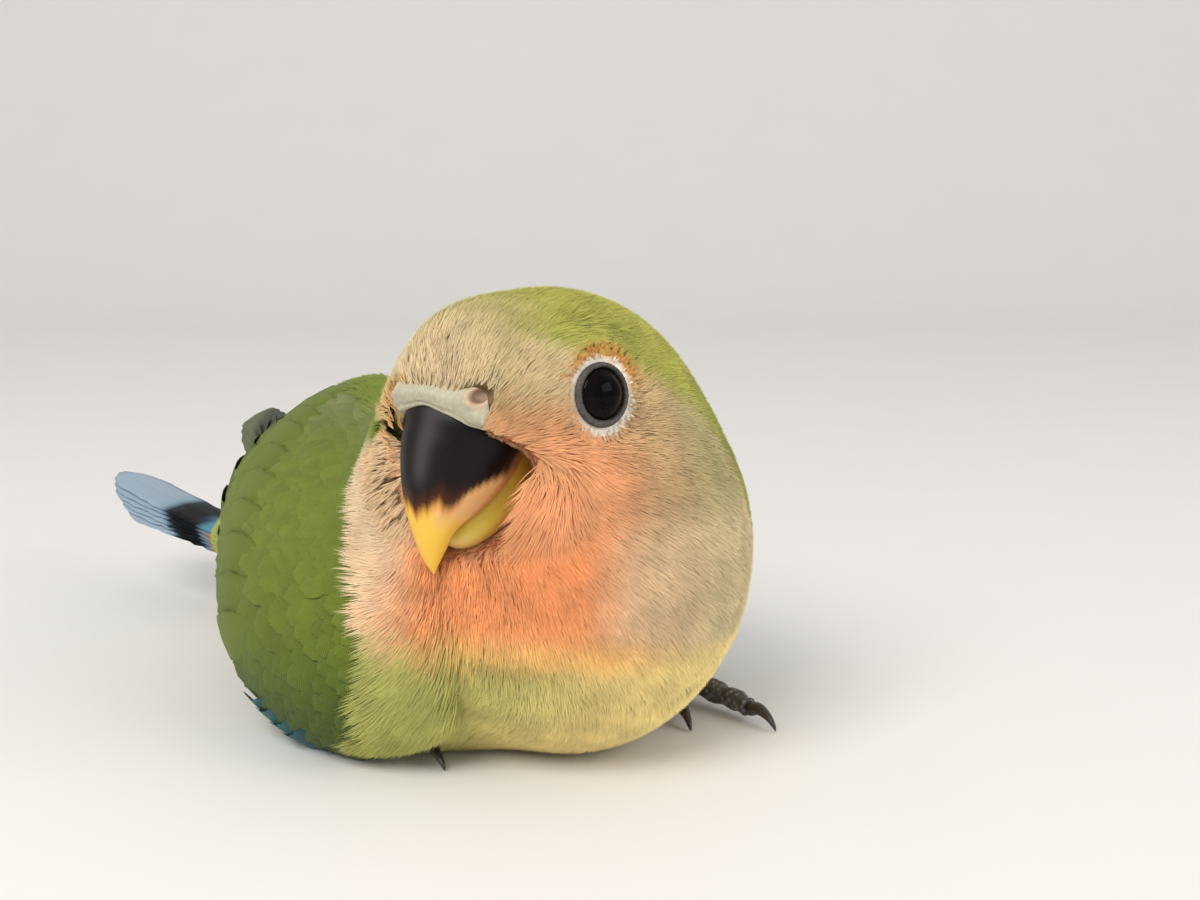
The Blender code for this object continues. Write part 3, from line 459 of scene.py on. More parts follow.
def skinPlaceBoth(p):
    q = p / mm
    onAxis = np.clip(q[:, 1], -7.0, 48.0)
    beyond = q[:, 1] - onAxis
    radius = np.hypot(q[:, 0], q[:, 2] - 20.5)
    v = (onAxis + 7.0 + 24.0 * np.arctan2(beyond, radius) + 38.0) / 131.0
    u = (np.arctan2(q[:, 0], -(q[:, 2] - 20.5)) / (2 * math.pi) + 0.5)
    bodyUv = np.stack([0.01 + 0.60 * u, 0.02 + 0.96 * v], axis=1)
    h = toHead(p) / mm
    u = np.arctan2(h[:, 0], -h[:, 1]) / (2 * math.pi) + 0.5
    v = np.arctan2(h[:, 2] + 2.0, np.hypot(h[:, 0], h[:, 1])) / math.pi + 0.5
    return bodyUv, np.stack([0.63 + 0.36 * u, 0.02 + 0.96 * v], axis=1)


dressSkin()


# ---- small feathers ----
def besideBill(h):  # 1 where the cheek's feathers lap over the side of the lower bill
    ring = smooth(14.5, 10.5, np.hypot(h[:, 0], h[:, 2] + 3.0))
    return ring * smooth(0.0, -2.5, h[:, 2]) * smooth(-10.0, -7.0, h[:, 2]) * smooth(2.0, 5.0, h[:, 0])


def lie(p, n):  # the way the feathers lie at each place
    h = toHead(p) / mm
    v = h - np.array([0.0, -12.5, -1.5])
    v[:, 2] -= 0.25 * np.maximum(0, -h[:, 2])
    beside = besideBill(h)
    lap = np.stack([-0.75 * np.sign(h[:, 0]), np.full(len(h), -0.4), np.full(len(h), -1.0)], axis=1)
    v = unit(v) * (1 - beside)[:, None] + lap * beside[:, None]
    headLie = unit(along(turnFromHead(v * mm), n))
    fromNeck = (p - headMiddle) @ neckWay / mm
    frontShare = smooth(-0.3, -0.9, n[:, 1]) * (1 - 0.8 * smooth(15.0, 20.0, np.abs(p[:, 0] / mm)))
    way = np.zeros_like(p)
    way[:, 1] = 1.0
    way[:, 2] = -0.12 - 1.6 * frontShare
    way[:, 0] = 0.25 * np.sign(p[:, 0]) * frontShare
    bodyLie = unit(along(way, n))
    w = smooth(-20.0, -8.0, fromNeck) * (1 - smooth(-17.0, -20.5, p[:, 0] / mm) * smooth(-12.5, -8.5, p[:, 1] / mm))
    both = unit(along(bodyLie * (1 - w)[:, None] + headLie * w[:, None], n))
    for side in sides.values():
        middle, look = eyeSpot(side)
        q = toHead(p) - middle
        flat = q - np.outer(q @ look, look)
        r = np.linalg.norm(flat, axis=1) / mm
        near = smooth(5.2, 4.0, r) * (q @ look > -5 * mm)
        both = unit(along(both * (1 - near)[:, None] + turnFromHead(flat / np.maximum(r, 0.1)[:, None]) / mm * near[:, None], n))
    return both


def scatter(points, tris, keep, spacing, seed):
    rng = np.random.default_rng(seed)
    a, b, c = (points[tris[:, k]] for k in range(3))
    area = np.linalg.norm(np.cross(b - a, c - a), axis=1) / 2
    area = area * keep((a + b + c) / 3)
    count = int(area.sum() / (spacing * mm) ** 2 * 5)
    pick = rng.choice(len(tris), count, p=area / area.sum())
    u, v = rng.random((2, count))
    fold = u + v > 1
    u, v = np.where(fold, 1 - u, u), np.where(fold, 1 - v, v)
    p = a[pick] + (b[pick] - a[pick]) * u[:, None] + (c[pick] - a[pick]) * v[:, None]
    cell = np.floor(p / (spacing * mm)).astype(np.int64)
    key = (cell[:, 0] * 73856093) ^ (cell[:, 1] * 19349663) ^ (cell[:, 2] * 83492791)
    _, first = np.unique(key, return_index=True)
    return p[np.sort(first)]


def fans(name, p, n, way, length, width, barbs, barbWidth, low, high, colours, material, seed, uvPlace, gap=bodyGap, tipPale=0.12, ragged=0.12, stations=(0.0, 0.5, 1.0), curl=0.0):
    rng = np.random.default_rng(seed)
    count = len(p)
    across = unit(np.cross(n, way))
    c = np.linspace(-1, 1, barbs)[None, :] + rng.uniform(-0.5, 0.5, (count, barbs)) / barbs
    L = length[:, None] * (1 + rng.uniform(-ragged, ragged, (count, barbs)))
    W = width[:, None]
    startAt = 0.30 * (1 - np.abs(c)) * L
    endAt = (1 - 0.30 * c * c) * L
    tilt = rng.uniform(-0.10, 0.10, (count, barbs)) * L
    lift = rng.uniform(0.0, 1.0, (count, 1)) * 0.25 + rng.uniform(-0.5, 0.5, (count, barbs)) * 0.12
    line = []
    for s in stations:
        ahead = startAt + (endAt - startAt) * s
        aside = W / 2 * c * (1 - (1 - s) ** 1.7) + tilt * s
        q = p[:, None, :] + way[:, None, :] * ahead[..., None] + across[:, None, :] * aside[..., None]
        height = low[:, None] + (high - low)[:, None] * s ** 0.8 + lift * mm * s + curl * mm * s * s
        flat = q.reshape(-1, 3)
        now = gap(flat).reshape(count, barbs)
        q = q + n[:, None, :] * (height - now)[..., None]
        line.append(q)
    half = barbWidth[:, None] * mm / 2 * (1 + rng.uniform(-0.25, 0.25, (count, barbs)))
    aim = unit(line[-1] - line[0])
    side = unit(np.cross(n[:, None, :], aim))
    roll = rng.uniform(-0.35, 0.35, (count, barbs))[..., None]
    side = unit(side + n[:, None, :] * roll)
    rows = []
    shades = []
    patch = []
    base = colours[:, None, :] * (1 + rng.uniform(-0.07, 0.07, (count, 1, 1))) * (1 + rng.uniform(-0.06, 0.06, (count, barbs, 1)))
    rootUv = uvPlace(p)
    for k, s in enumerate(stations[:-1]):
        w = half * (1.0 if s < 0.6 else 0.7)
        for sign in (1, -1):
            rows.append(line[k] + side * w[..., None] * sign)
            # painted shade: each barb is darker towards its root, standing in for the shade under the tufts that lie
            # over it
            shades.append(base * (0.88 + 0.12 * s))
            patch.append(np.stack([0.5 * c + 0.04 * sign, np.full_like(c, s - 0.5)], axis=2))
    rows.append(line[-1])
    shades.append(np.clip(base * (1 + tipPale) + tipPale * 0.12, 0, 1))
    patch.append(np.stack([0.5 * c, np.full_like(c, 0.5)], axis=2))
    per = len(rows)
    points = np.stack(rows, axis=2).reshape(-1, 3)
    points[:, 2] = np.maximum(points[:, 2], 0.05 * mm)
    shadesAll = np.stack(shades, axis=2).reshape(-1, 3)
    patchAll = np.stack(patch, axis=2) * 0.003 + rootUv[:, None, None, :]
    start = np.arange(count * barbs) * per
    quads = np.concatenate([np.stack([start + 2 * k, start + 2 * k + 1, start + 2 * k + 3, start + 2 * k + 2], axis=1) for k in range(len(stations) - 2)]) if len(stations) > 2 else None
    last = 2 * (len(stations) - 2)
    tris = np.stack([start + last, start + last + 1, start + last + 2], axis=1)
    faces = ([quads] if quads is not None else []) + [tris]
    total = len(tris) * (1 + 2 * (len(stations) - 2))
    print(" ", name, count, "tufts", total, "triangles")
    return fastMesh(name, points, faces, shadesAll, patchAll.reshape(-1, 2), material)


coat = {
    "face": {"spacing": 0.48, "length": 3.0, "width": 1.0, "barbs": 9, "barbWidth": 0.10},
    "crown": {"spacing": 0.58, "length": 3.2, "width": 1.3, "barbs": 9, "barbWidth": 0.13},
    "breast": {"spacing": 0.62, "length": 4.8, "width": 1.8, "barbs": 12, "barbWidth": 0.13},
    "rear": {"spacing": 0.85, "length": 5.2, "width": 3.0, "barbs": 12, "barbWidth": 0.24},
}


def wingRound(p):  # where a place lies round the body, and the wing's lower and upper edge there
    y = p[:, 1] / mm
    axis = (20.0 + 6.0 * smooth(30.0, 54.0, y)) * mm
    around = np.degrees(np.arctan2(p[:, 2] - axis, np.abs(p[:, 0])))
    lowest = np.interp(y, [-6, 0, 3, 10, 30, 48, 58, 68], [-34, -34, -30, -26, -22, -14, 8, 28])
    highest = np.interp(y, [-6, 10, 30, 48, 58, 68], [42, 52, 72, 90, 90, 90])
    return around, lowest, highest


def hollowRim(p):  # 1 on the rim of the bill's hollow
    return smooth(2.6, 1.4, hollowGap(toHead(p)) / mm)


def wingShare(p):  # 1 where the folded wing covers the body
    y = p[:, 1] / mm
    around, lowest, highest = wingRound(p)
    front = np.interp(around, wing["frontAngle"], wing["frontLine"])
    return smooth(0, 5, around - lowest) * smooth(0, 5, highest - around) * smooth(-1.0, 1.0, y - front) * smooth(64, 58, y) * smooth(-1.5, -4.5, (p - headMiddle) @ neckWay / mm) * (1 - hollowRim(p))


def overWing(p):  # 1 where breast and back feathers lie over the wing's edge
    y = p[:, 1] / mm
    around, lowest, highest = wingRound(p)
    line = np.interp(around, wing["frontAngle"], wing["frontLine"])
    front = smooth(-7.0, -4.0, y - line) * smooth(4.0, 1.5, y - line) * smooth(-8, 2, around - lowest) * smooth(6, -4, around - highest)
    top = smooth(12, 5, around - highest) * smooth(-6, 0, around - highest) * smooth(-2, 4, y) * smooth(44, 36, y)
    fromNeck = (p - headMiddle) @ neckWay / mm
    collar = smooth(-7.0, -4.5, fromNeck) * smooth(5.0, 1.0, fromNeck) * smooth(-8, 2, around - lowest) * smooth(14, 2, around - highest) * smooth(-7.0, -4.0, y - line)
    rim = hollowRim(p) * smooth(-9.0, -6.0, y - line) * smooth(-8, 2, around - lowest) * smooth(28, 18, around - highest)
    return np.maximum(np.maximum(front, top), np.maximum(0.8 * collar, rim))


def coatRegion(p):
    fromNeck = (p - headMiddle) @ neckWay / mm
    h = toHead(p) / mm
    r = np.full(len(p), 3)
    r[(p[:, 1] / mm < 14) & (p[:, 2] / mm < 40)] = 2
    r[fromNeck > -12] = 1
    r[(fromNeck > -12) & (h[:, 1] < 6)] = 0
    return r


def eyeRange(p):  # how far a place is from the nearer eye
    return np.minimum(*[np.linalg.norm(toHead(p) - eyeSpot(side)[0], axis=1) for side in sides.values()]) / mm


def lineHollow(p, spec, m):  # short feathers in the hollow round the bill
    n = outward(p)
    way = lie(p, n)
    size = np.full(len(p), 0.55)
    obj = fans("loreFeathers", p, n, way, spec["length"] * mm * size, spec["width"] * mm * size, 7, np.full(len(p), spec["barbWidth"]),
               -coatDepth(p), np.full(len(p), -0.1 * mm), mixTo(markings(p), plumage["fringe"], 0.35), m, 59, lambda q: skinPlace(q)[0])


def growCoat():
    m = plumeMaterial("plumage")
    for number, (key, spec) in enumerate(coat.items()):
        p = scatter(skinPoints, skinTris, lambda q: (coatRegion(q) == number) * (wingShare(q) < 0.6) * (q[:, 2] > 0.4 * mm) + 0.0, spec["spacing"], 20 + number)
        p = p[eyeRange(p) > 3.4]
        if number == 0:
            p = p[~onCere(p)]
            deep = (faceGap(p) < -coatDepth(p) - 0.7 * mm) & (overWing(p) < 0.5)
            lineHollow(p[deep], spec, m)
            p = p[~deep]
        n = outward(p, faceGap)
        way = lie(p, n)
        rng = np.random.default_rng(40 + number)
        h = toHead(p) / mm
        fromBill = np.linalg.norm(h - np.array([0.0, -13.0, -2.0]), axis=1)
        eye = eyeRange(p)
        size = (0.6 + 0.4 * smooth(7.0, 14.0, fromBill)) * (0.16 + 0.84 * smooth(3.6, 6.6, eye))
        size = size * (1 + 1.2 * besideBill(h)) * (1 + 0.4 * fringeShare(p) * (number == 0))
        over = overWing(p)
        length = spec["length"] * mm * size * rng.uniform(0.85, 1.15, len(p)) * (1 + 0.15 * over)
        width = spec["width"] * mm * size * rng.uniform(0.85, 1.15, len(p))
        brow = cereEdge(p) * (number == 0)
        depth = coatDepth(p) * (1 - over) * (1 - 0.25 * brow) - 0.35 * over * mm
        high = (-0.12 + 1.3 * over + 0.3 * brow) * mm
        colours = markings(p)
        order = np.argsort(skinPlace(p)[0][:, 1])
        p, n, way, length, width, depth, high, colours = (item[order] for item in (p, n, way, length, width, depth, high, colours))
        pieces = int(math.ceil(len(p) * spec["barbs"] * 3 / 190000))
        for k, part in enumerate(np.array_split(np.arange(len(p)), pieces)):
            obj = fans(f"{key}Feathers{k + 1}", p[part], n[part], way[part], length[part], width[part], spec["barbs"],
                       np.full(len(part), spec["barbWidth"]), -depth[part], high[part], colours[part], m, 60 + 10 * number + k, lambda q: skinPlace(q)[0], faceGap)


def cerePlace(p):  # angle round the bill's root, and the distances past the cere's inner and outer edges
    h = toHead(p) / mm
    turn = np.degrees(np.arctan2(np.abs(h[:, 0]), h[:, 2] - cere["height"]))
    reach = np.hypot(h[:, 0], h[:, 2] - cere["height"])
    front = (turn < 60.0) & (h[:, 1] < -10.0)
    return front, reach - np.interp(turn, cere["turns"], cere["inner"]), reach - np.interp(turn, cere["turns"], cere["outer"])


def onCere(p):  # where the cere lies bare of feathers
    front, pastInner, pastOuter = cerePlace(p)
    return front & (pastOuter < -0.4) & (pastInner > -1.5)


def cereEdge(p):  # 1 along the cere's upper edge, where the forehead's feathers lap over it
    front, pastInner, pastOuter = cerePlace(p)
    return front * np.exp(-((pastOuter + 0.2) / 1.0) ** 2)




# ---- wings ----
wing = {
    "middle": 18.0, "halfLength": 24.0, "middleAngle": (7.0, 50.0), "halfAngle": (48.0, 34.0), "outer": (0.7, -0.4),
    "thickness": (4.6, 2.2), "flatness": 0.45,
    "tiers": {  # count, root and tip of the first and last as (along mm, round degrees), width mm, level mm at root and tip, bow
        "primary": (8, (12.0, -25.0), (28.0, 12.0), (48.0, -18.0), (67.0, 24.0), 5.6, (-0.6, 0.3), -4.0),
        "secondary": (9, (10.0, -20.0), (24.0, 50.0), (36.0, -20.0), (50.0, 54.0), 7.4, (-0.6, 0.6), 2.0),
        "tertial": (4, (18.0, 44.0), (22.0, 62.0), (44.0, 54.0), (52.0, 68.0), 7.4, (-0.4, 1.0), 2.0),
        "primaryCovert": (4, (-1.0, -31.0), (4.0, -26.0), (9.0, -37.0), (14.5, -30.0), 4.8, (-0.2, 1.15), -2.0),
        "greaterCovert": (11, (4.0, -14.0), (16.0, 50.0), (18.0, -18.0), (31.0, 62.0), 5.8, (-0.3, 1.1), 2.0),
    },
    "frontAngle": (-38.0, -30.0, -11.0, 0.0, 18.0, 35.0, 50.0), "frontLine": (-5.2, -8.2, -10.5, -9.6, -5.6, -5.2, -5.6),
    "rowStep": 1.3, "roundStep": (4.2, 6.4),
    "coverAlong": (-8.0, 0.0, 3.0, 8.0, 24.0), "coverLowest": (-38.0, -37.0, -28.0, -20.0, -20.0), "coverHighest": (50.0, 56.0, 60.0, 66.0, 72.0),
    "greenDark": "#425622", "green": "#68762C", "greenLight": "#798636", "grey": "#9A9A68", "teal": "#4F8384",
    "tealDeep": "#2B5054", "black": "#3A3D33", "edge": "#6C6F50",
}
wingPaint = {key: paint(wing[key]) for key in ("greenDark", "green", "greenLight", "grey", "teal", "tealDeep", "black", "edge")}


class WingChart:
    # one side of the body as a sheet: how far along it and how far round it
    def __init__(self, side):
        self.side = side
        self.alongs = np.linspace(-9.0, 74.0, 150)
        self.angles = np.linspace(-56.0, 92.0, 120)
        A, B = np.meshgrid(self.alongs, self.angles, indexing="ij")
        a, b = A.reshape(-1) * mm, np.radians(B.reshape(-1))
        axis = (20.0 + 6.0 * smooth(30.0, 54.0, a / mm)) * mm
        starts = np.stack([np.zeros_like(a), a, axis], axis=1)
        ways = np.stack([side * np.cos(b), np.zeros_like(a), np.sin(b)], axis=1)
        low, high = np.zeros(len(a)), np.full(len(a), 45 * mm)
        found = np.zeros(len(a), bool)
        steps = 30
        for i in range(steps, 0, -1):
            t = 45 * mm * (i - 1) / steps
            new = (wingGap(starts + ways * t) < 0) & ~found
            low[new], high[new] = t, t + 45 * mm / steps
            found |= new
        for i in range(14):
            middle = (low + high) / 2
            inside = wingGap(starts + ways * middle[:, None]) < 0
            low, high = np.where(inside, middle, low), np.where(inside, high, middle)
        p = starts + ways * ((low + high) / 2)[:, None]
        self.p = p.reshape(*A.shape, 3)
        self.n = outward(p, wingGap).reshape(*A.shape, 3)

    def at(self, along, angle):
        i = np.clip((along - self.alongs[0]) / (self.alongs[1] - self.alongs[0]), 0, len(self.alongs) - 1.001)
        j = np.clip((angle - self.angles[0]) / (self.angles[1] - self.angles[0]), 0, len(self.angles) - 1.001)
        i0, j0 = i.astype(int), j.astype(int)
        fi, fj = (i - i0)[..., None], (j - j0)[..., None]
        out = []
        for grid in (self.p, self.n):
            out.append(grid[i0, j0] * (1 - fi) * (1 - fj) + grid[i0 + 1, j0] * fi * (1 - fj) + grid[i0, j0 + 1] * (1 - fi) * fj + grid[i0 + 1, j0 + 1] * fi * fj)
        return out[0], unit(out[1])

    def place(self, along, angle, level):
        p, n = self.at(np.asarray(along, float), np.asarray(angle, float))
        return p + n * np.asarray(level)[..., None] * mm, n

    def unwrap(self, along, angle):
        return np.stack([0.03 + 0.94 * (along + 9.0) / 83.0, 0.03 + 0.94 * (angle + 56.0) / 148.0], axis=-1)


def vaneMaterial(name, roughness=0.62, sheen=0.05):
    m, nodes, links, shader = newMaterial(name)
    colour = nodes.new("ShaderNodeVertexColor")
    colour.layer_name = "plume"
    uv = nodes.new("ShaderNodeUVMap")
    uv.uv_map = "vane"
    parts = nodes.new("ShaderNodeSeparateXYZ")
    out = nodes.new("ShaderNodeMath")
    out.operation = "ABSOLUTE"
    slant = nodes.new("ShaderNodeMath")
    slant.operation = "MULTIPLY_ADD"
    slant.inputs[1].default_value = -1.1
    turn = nodes.new("ShaderNodeMath")
    turn.operation = "MULTIPLY"
    turn.inputs[1].default_value = 2 * math.pi * 3.2
    noise = nodes.new("ShaderNodeTexNoise")
    noise.inputs["Scale"].default_value = 900.0
    noise.inputs["Detail"].default_value = 2.0
    place = nodes.new("ShaderNodeTexCoord")
    wobble = nodes.new("ShaderNodeMath")
    wobble.operation = "MULTIPLY_ADD"
    wobble.inputs[1].default_value = 4.0
    wave = nodes.new("ShaderNodeMath")
    wave.operation = "SINE"
    shade = nodes.new("ShaderNodeMapRange")
    shade.inputs["From Min"].default_value = -1.0
    shade.inputs["To Min"].default_value = 0.84
    shade.inputs["To Max"].default_value = 1.08
    tint = nodes.new("ShaderNodeVectorMath")
    tint.operation = "SCALE"
    bump = nodes.new("ShaderNodeBump")
    bump.inputs["Strength"].default_value = 0.5
    bump.inputs["Distance"].default_value = 0.00006
    links.new(uv.outputs["UV"], parts.inputs["Vector"])
    links.new(parts.outputs["X"], out.inputs[0])
    links.new(out.outputs["Value"], slant.inputs[0])
    links.new(parts.outputs["Y"], slant.inputs[2])
    links.new(slant.outputs["Value"], turn.inputs[0])
    links.new(place.outputs["Object"], noise.inputs["Vector"])
    links.new(noise.outputs["Fac"], wobble.inputs[0])
    links.new(turn.outputs["Value"], wobble.inputs[2])
    links.new(wobble.outputs["Value"], wave.inputs[0])
    links.new(wave.outputs["Value"], shade.inputs["Value"])
    links.new(colour.outputs["Color"], tint.inputs[0])
    links.new(shade.outputs["Result"], tint.inputs["Scale"])
    links.new(tint.outputs["Vector"], shader.inputs["Base Color"])
    links.new(wave.outputs["Value"], bump.inputs["Height"])
    links.new(bump.outputs["Normal"], shader.inputs["Normal"])
    shader.inputs["Roughness"].default_value = roughness
    shader.inputs["Sheen Weight"].default_value = sheen
    shader.inputs["Specular IOR Level"].default_value = 0.1
    return m


def vanes(name, lines, normals, widths, colourAt, rootUvs, material, seed, roll=0.0, camber=0.022, across=9):
    # long feathers: a sheet with a raised shaft, rounded end and a slightly frayed edge
    rng = np.random.default_rng(seed)
    points, colours, bake, barb, faces = [], [], [], [], []
    start = 0
    for k, (line, normal, width, rootUv) in enumerate(zip(lines, normals, widths, rootUvs)):
        count = len(line)
        way = unit(np.gradient(line, axis=0))
        aside = unit(np.cross(normal, way))
        up = np.cross(way, aside)
        s = np.linspace(0, 1, count)
        full = np.where(s < 0.25, 0.72 + 0.28 * np.sin(s / 0.25 * math.pi / 2), 1.0) * np.sqrt(np.clip(1 - np.clip((s - 0.78) / 0.22, 0, 1) ** 2.4, 0.0, 1))
        full = np.maximum(full, 0.03)
        c = np.linspace(-1, 1, across)
        half = width * mm / 2 * full[:, None] * (1 + 0.035 * rng.normal(size=(count, 1)) * (np.abs(c) > 0.99)[None, :])
        x = c[None, :] * half
        length = np.concatenate([[0], np.cumsum(np.linalg.norm(np.diff(line, axis=0), axis=1))]) / mm
        rise = -(x / mm) ** 2 * camber * mm + x * math.tan(roll) + 0.12 * mm * np.exp(-(x / (0.28 * mm)) ** 2) * (1 - 0.7 * s[:, None])
        p = line[:, None, :] + aside[:, None, :] * x[..., None] + up[:, None, :] * rise[..., None]
        p[..., 2] = np.maximum(p[..., 2], 0.12 * mm)
        points.append(p.reshape(-1, 3))
        colours.append(colourAt(k, np.broadcast_to(s[:, None], x.shape), np.broadcast_to(c[None, :], x.shape)).reshape(-1, 3) * (1 + rng.uniform(-0.05, 0.05)))
        barb.append(np.stack([x / mm, np.broadcast_to(length[:, None], x.shape)], axis=-1).reshape(-1, 2))
        bake.append((rootUv + np.stack([np.broadcast_to(c[None, :], x.shape) * 0.010, np.broadcast_to(s[:, None], x.shape) * 0.03], axis=-1)).reshape(-1, 2))
        index = np.arange(count * across).reshape(count, across) + start
        faces.append(np.stack([index[:-1, :-1], index[:-1, 1:], index[1:, 1:], index[1:, :-1]], axis=-1).reshape(-1, 4))
        start += count * across
    obj = fastMesh(name, np.concatenate(points), [np.concatenate(faces)], np.concatenate(colours), np.concatenate(bake), material, np.concatenate(barb))
    thick = obj.modifiers.new("thickness", "SOLIDIFY")
    thick.thickness = 0.06 * mm
    thick.offset = -1.0
    return obj


def scales(name, p, n, way, length, width, low, high, colours, material, seed, rootUvs, rows=8, across=7):
    # small covert feathers: each a rounded sheet with a slightly frayed end, over the one behind
    rng = np.random.default_rng(seed)
    count = len(p)
    s, c = np.linspace(0, 1, rows)[None, :, None], np.linspace(-1, 1, across)[None, None, :]
    full = (0.55 + 0.45 * smooth(0.0, 0.4, s)) * np.sqrt(np.clip(1 - np.clip((s - 0.55) / 0.45, 0, 1) ** 2.2, 0.02, 1))
    fray = 1 + rng.uniform(-0.05, 0.05, (count, 1, across)) * smooth(0.5, 1.0, s)
    ahead = length[:, None, None] * s * fray
    aside = width[:, None, None] / 2 * c * full
    across3 = unit(np.cross(n, way))
    q = p[:, None, None, :] + way[:, None, None, :] * ahead[..., None] + across3[:, None, None, :] * aside[..., None]
    level = low + (high - low) * s ** 0.8 - 0.22 * mm * c ** 2 + rng.uniform(-0.12, 0.12, (count, 1, 1)) * mm
    level = level + 0.05 * mm * np.exp(-(c / 0.2) ** 2)
    flat = q.reshape(-1, 3)
    now = wingGap(flat).reshape(q.shape[:3])
    q = q + n[:, None, None, :] * (level - now)[..., None]
    q[..., 2] = np.maximum(q[..., 2], 0.1 * mm)
    # painted shade: each covert is darker towards its root, where the covert in front lies over it
    tone = 0.80 + 0.20 * smooth(0.0, 0.5, s) + 0.09 * smooth(0.72, 1.0, np.maximum(np.abs(c) * full, s)) - 0.05 * np.exp(-(c / 0.15) ** 2)
    shade = colours[:, None, None, :] * (tone * (1 + rng.uniform(-0.09, 0.09, (count, 1, 1))))[..., None]
    bake = rootUvs[:, None, None, :] + np.stack(np.broadcast_arrays(0.0012 * c, 0.003 * (s - 0.5)), axis=-1)
    bake = np.broadcast_to(bake, q.shape[:3] + (2,))
    barb = np.stack([aside, ahead], axis=-1) / mm
    index = np.arange(count * rows * across).reshape(count, rows, across)
    faces = np.stack([index[:, :-1, :-1], index[:, :-1, 1:], index[:, 1:, 1:], index[:, 1:, :-1]], axis=-1).reshape(-1, 4)
    print(" ", name, count, "coverts", 2 * len(faces), "triangles")
    return fastMesh(name, q.reshape(-1, 3), [faces], shade.reshape(-1, 3), bake.reshape(-1, 2), material, barb.reshape(-1, 2))


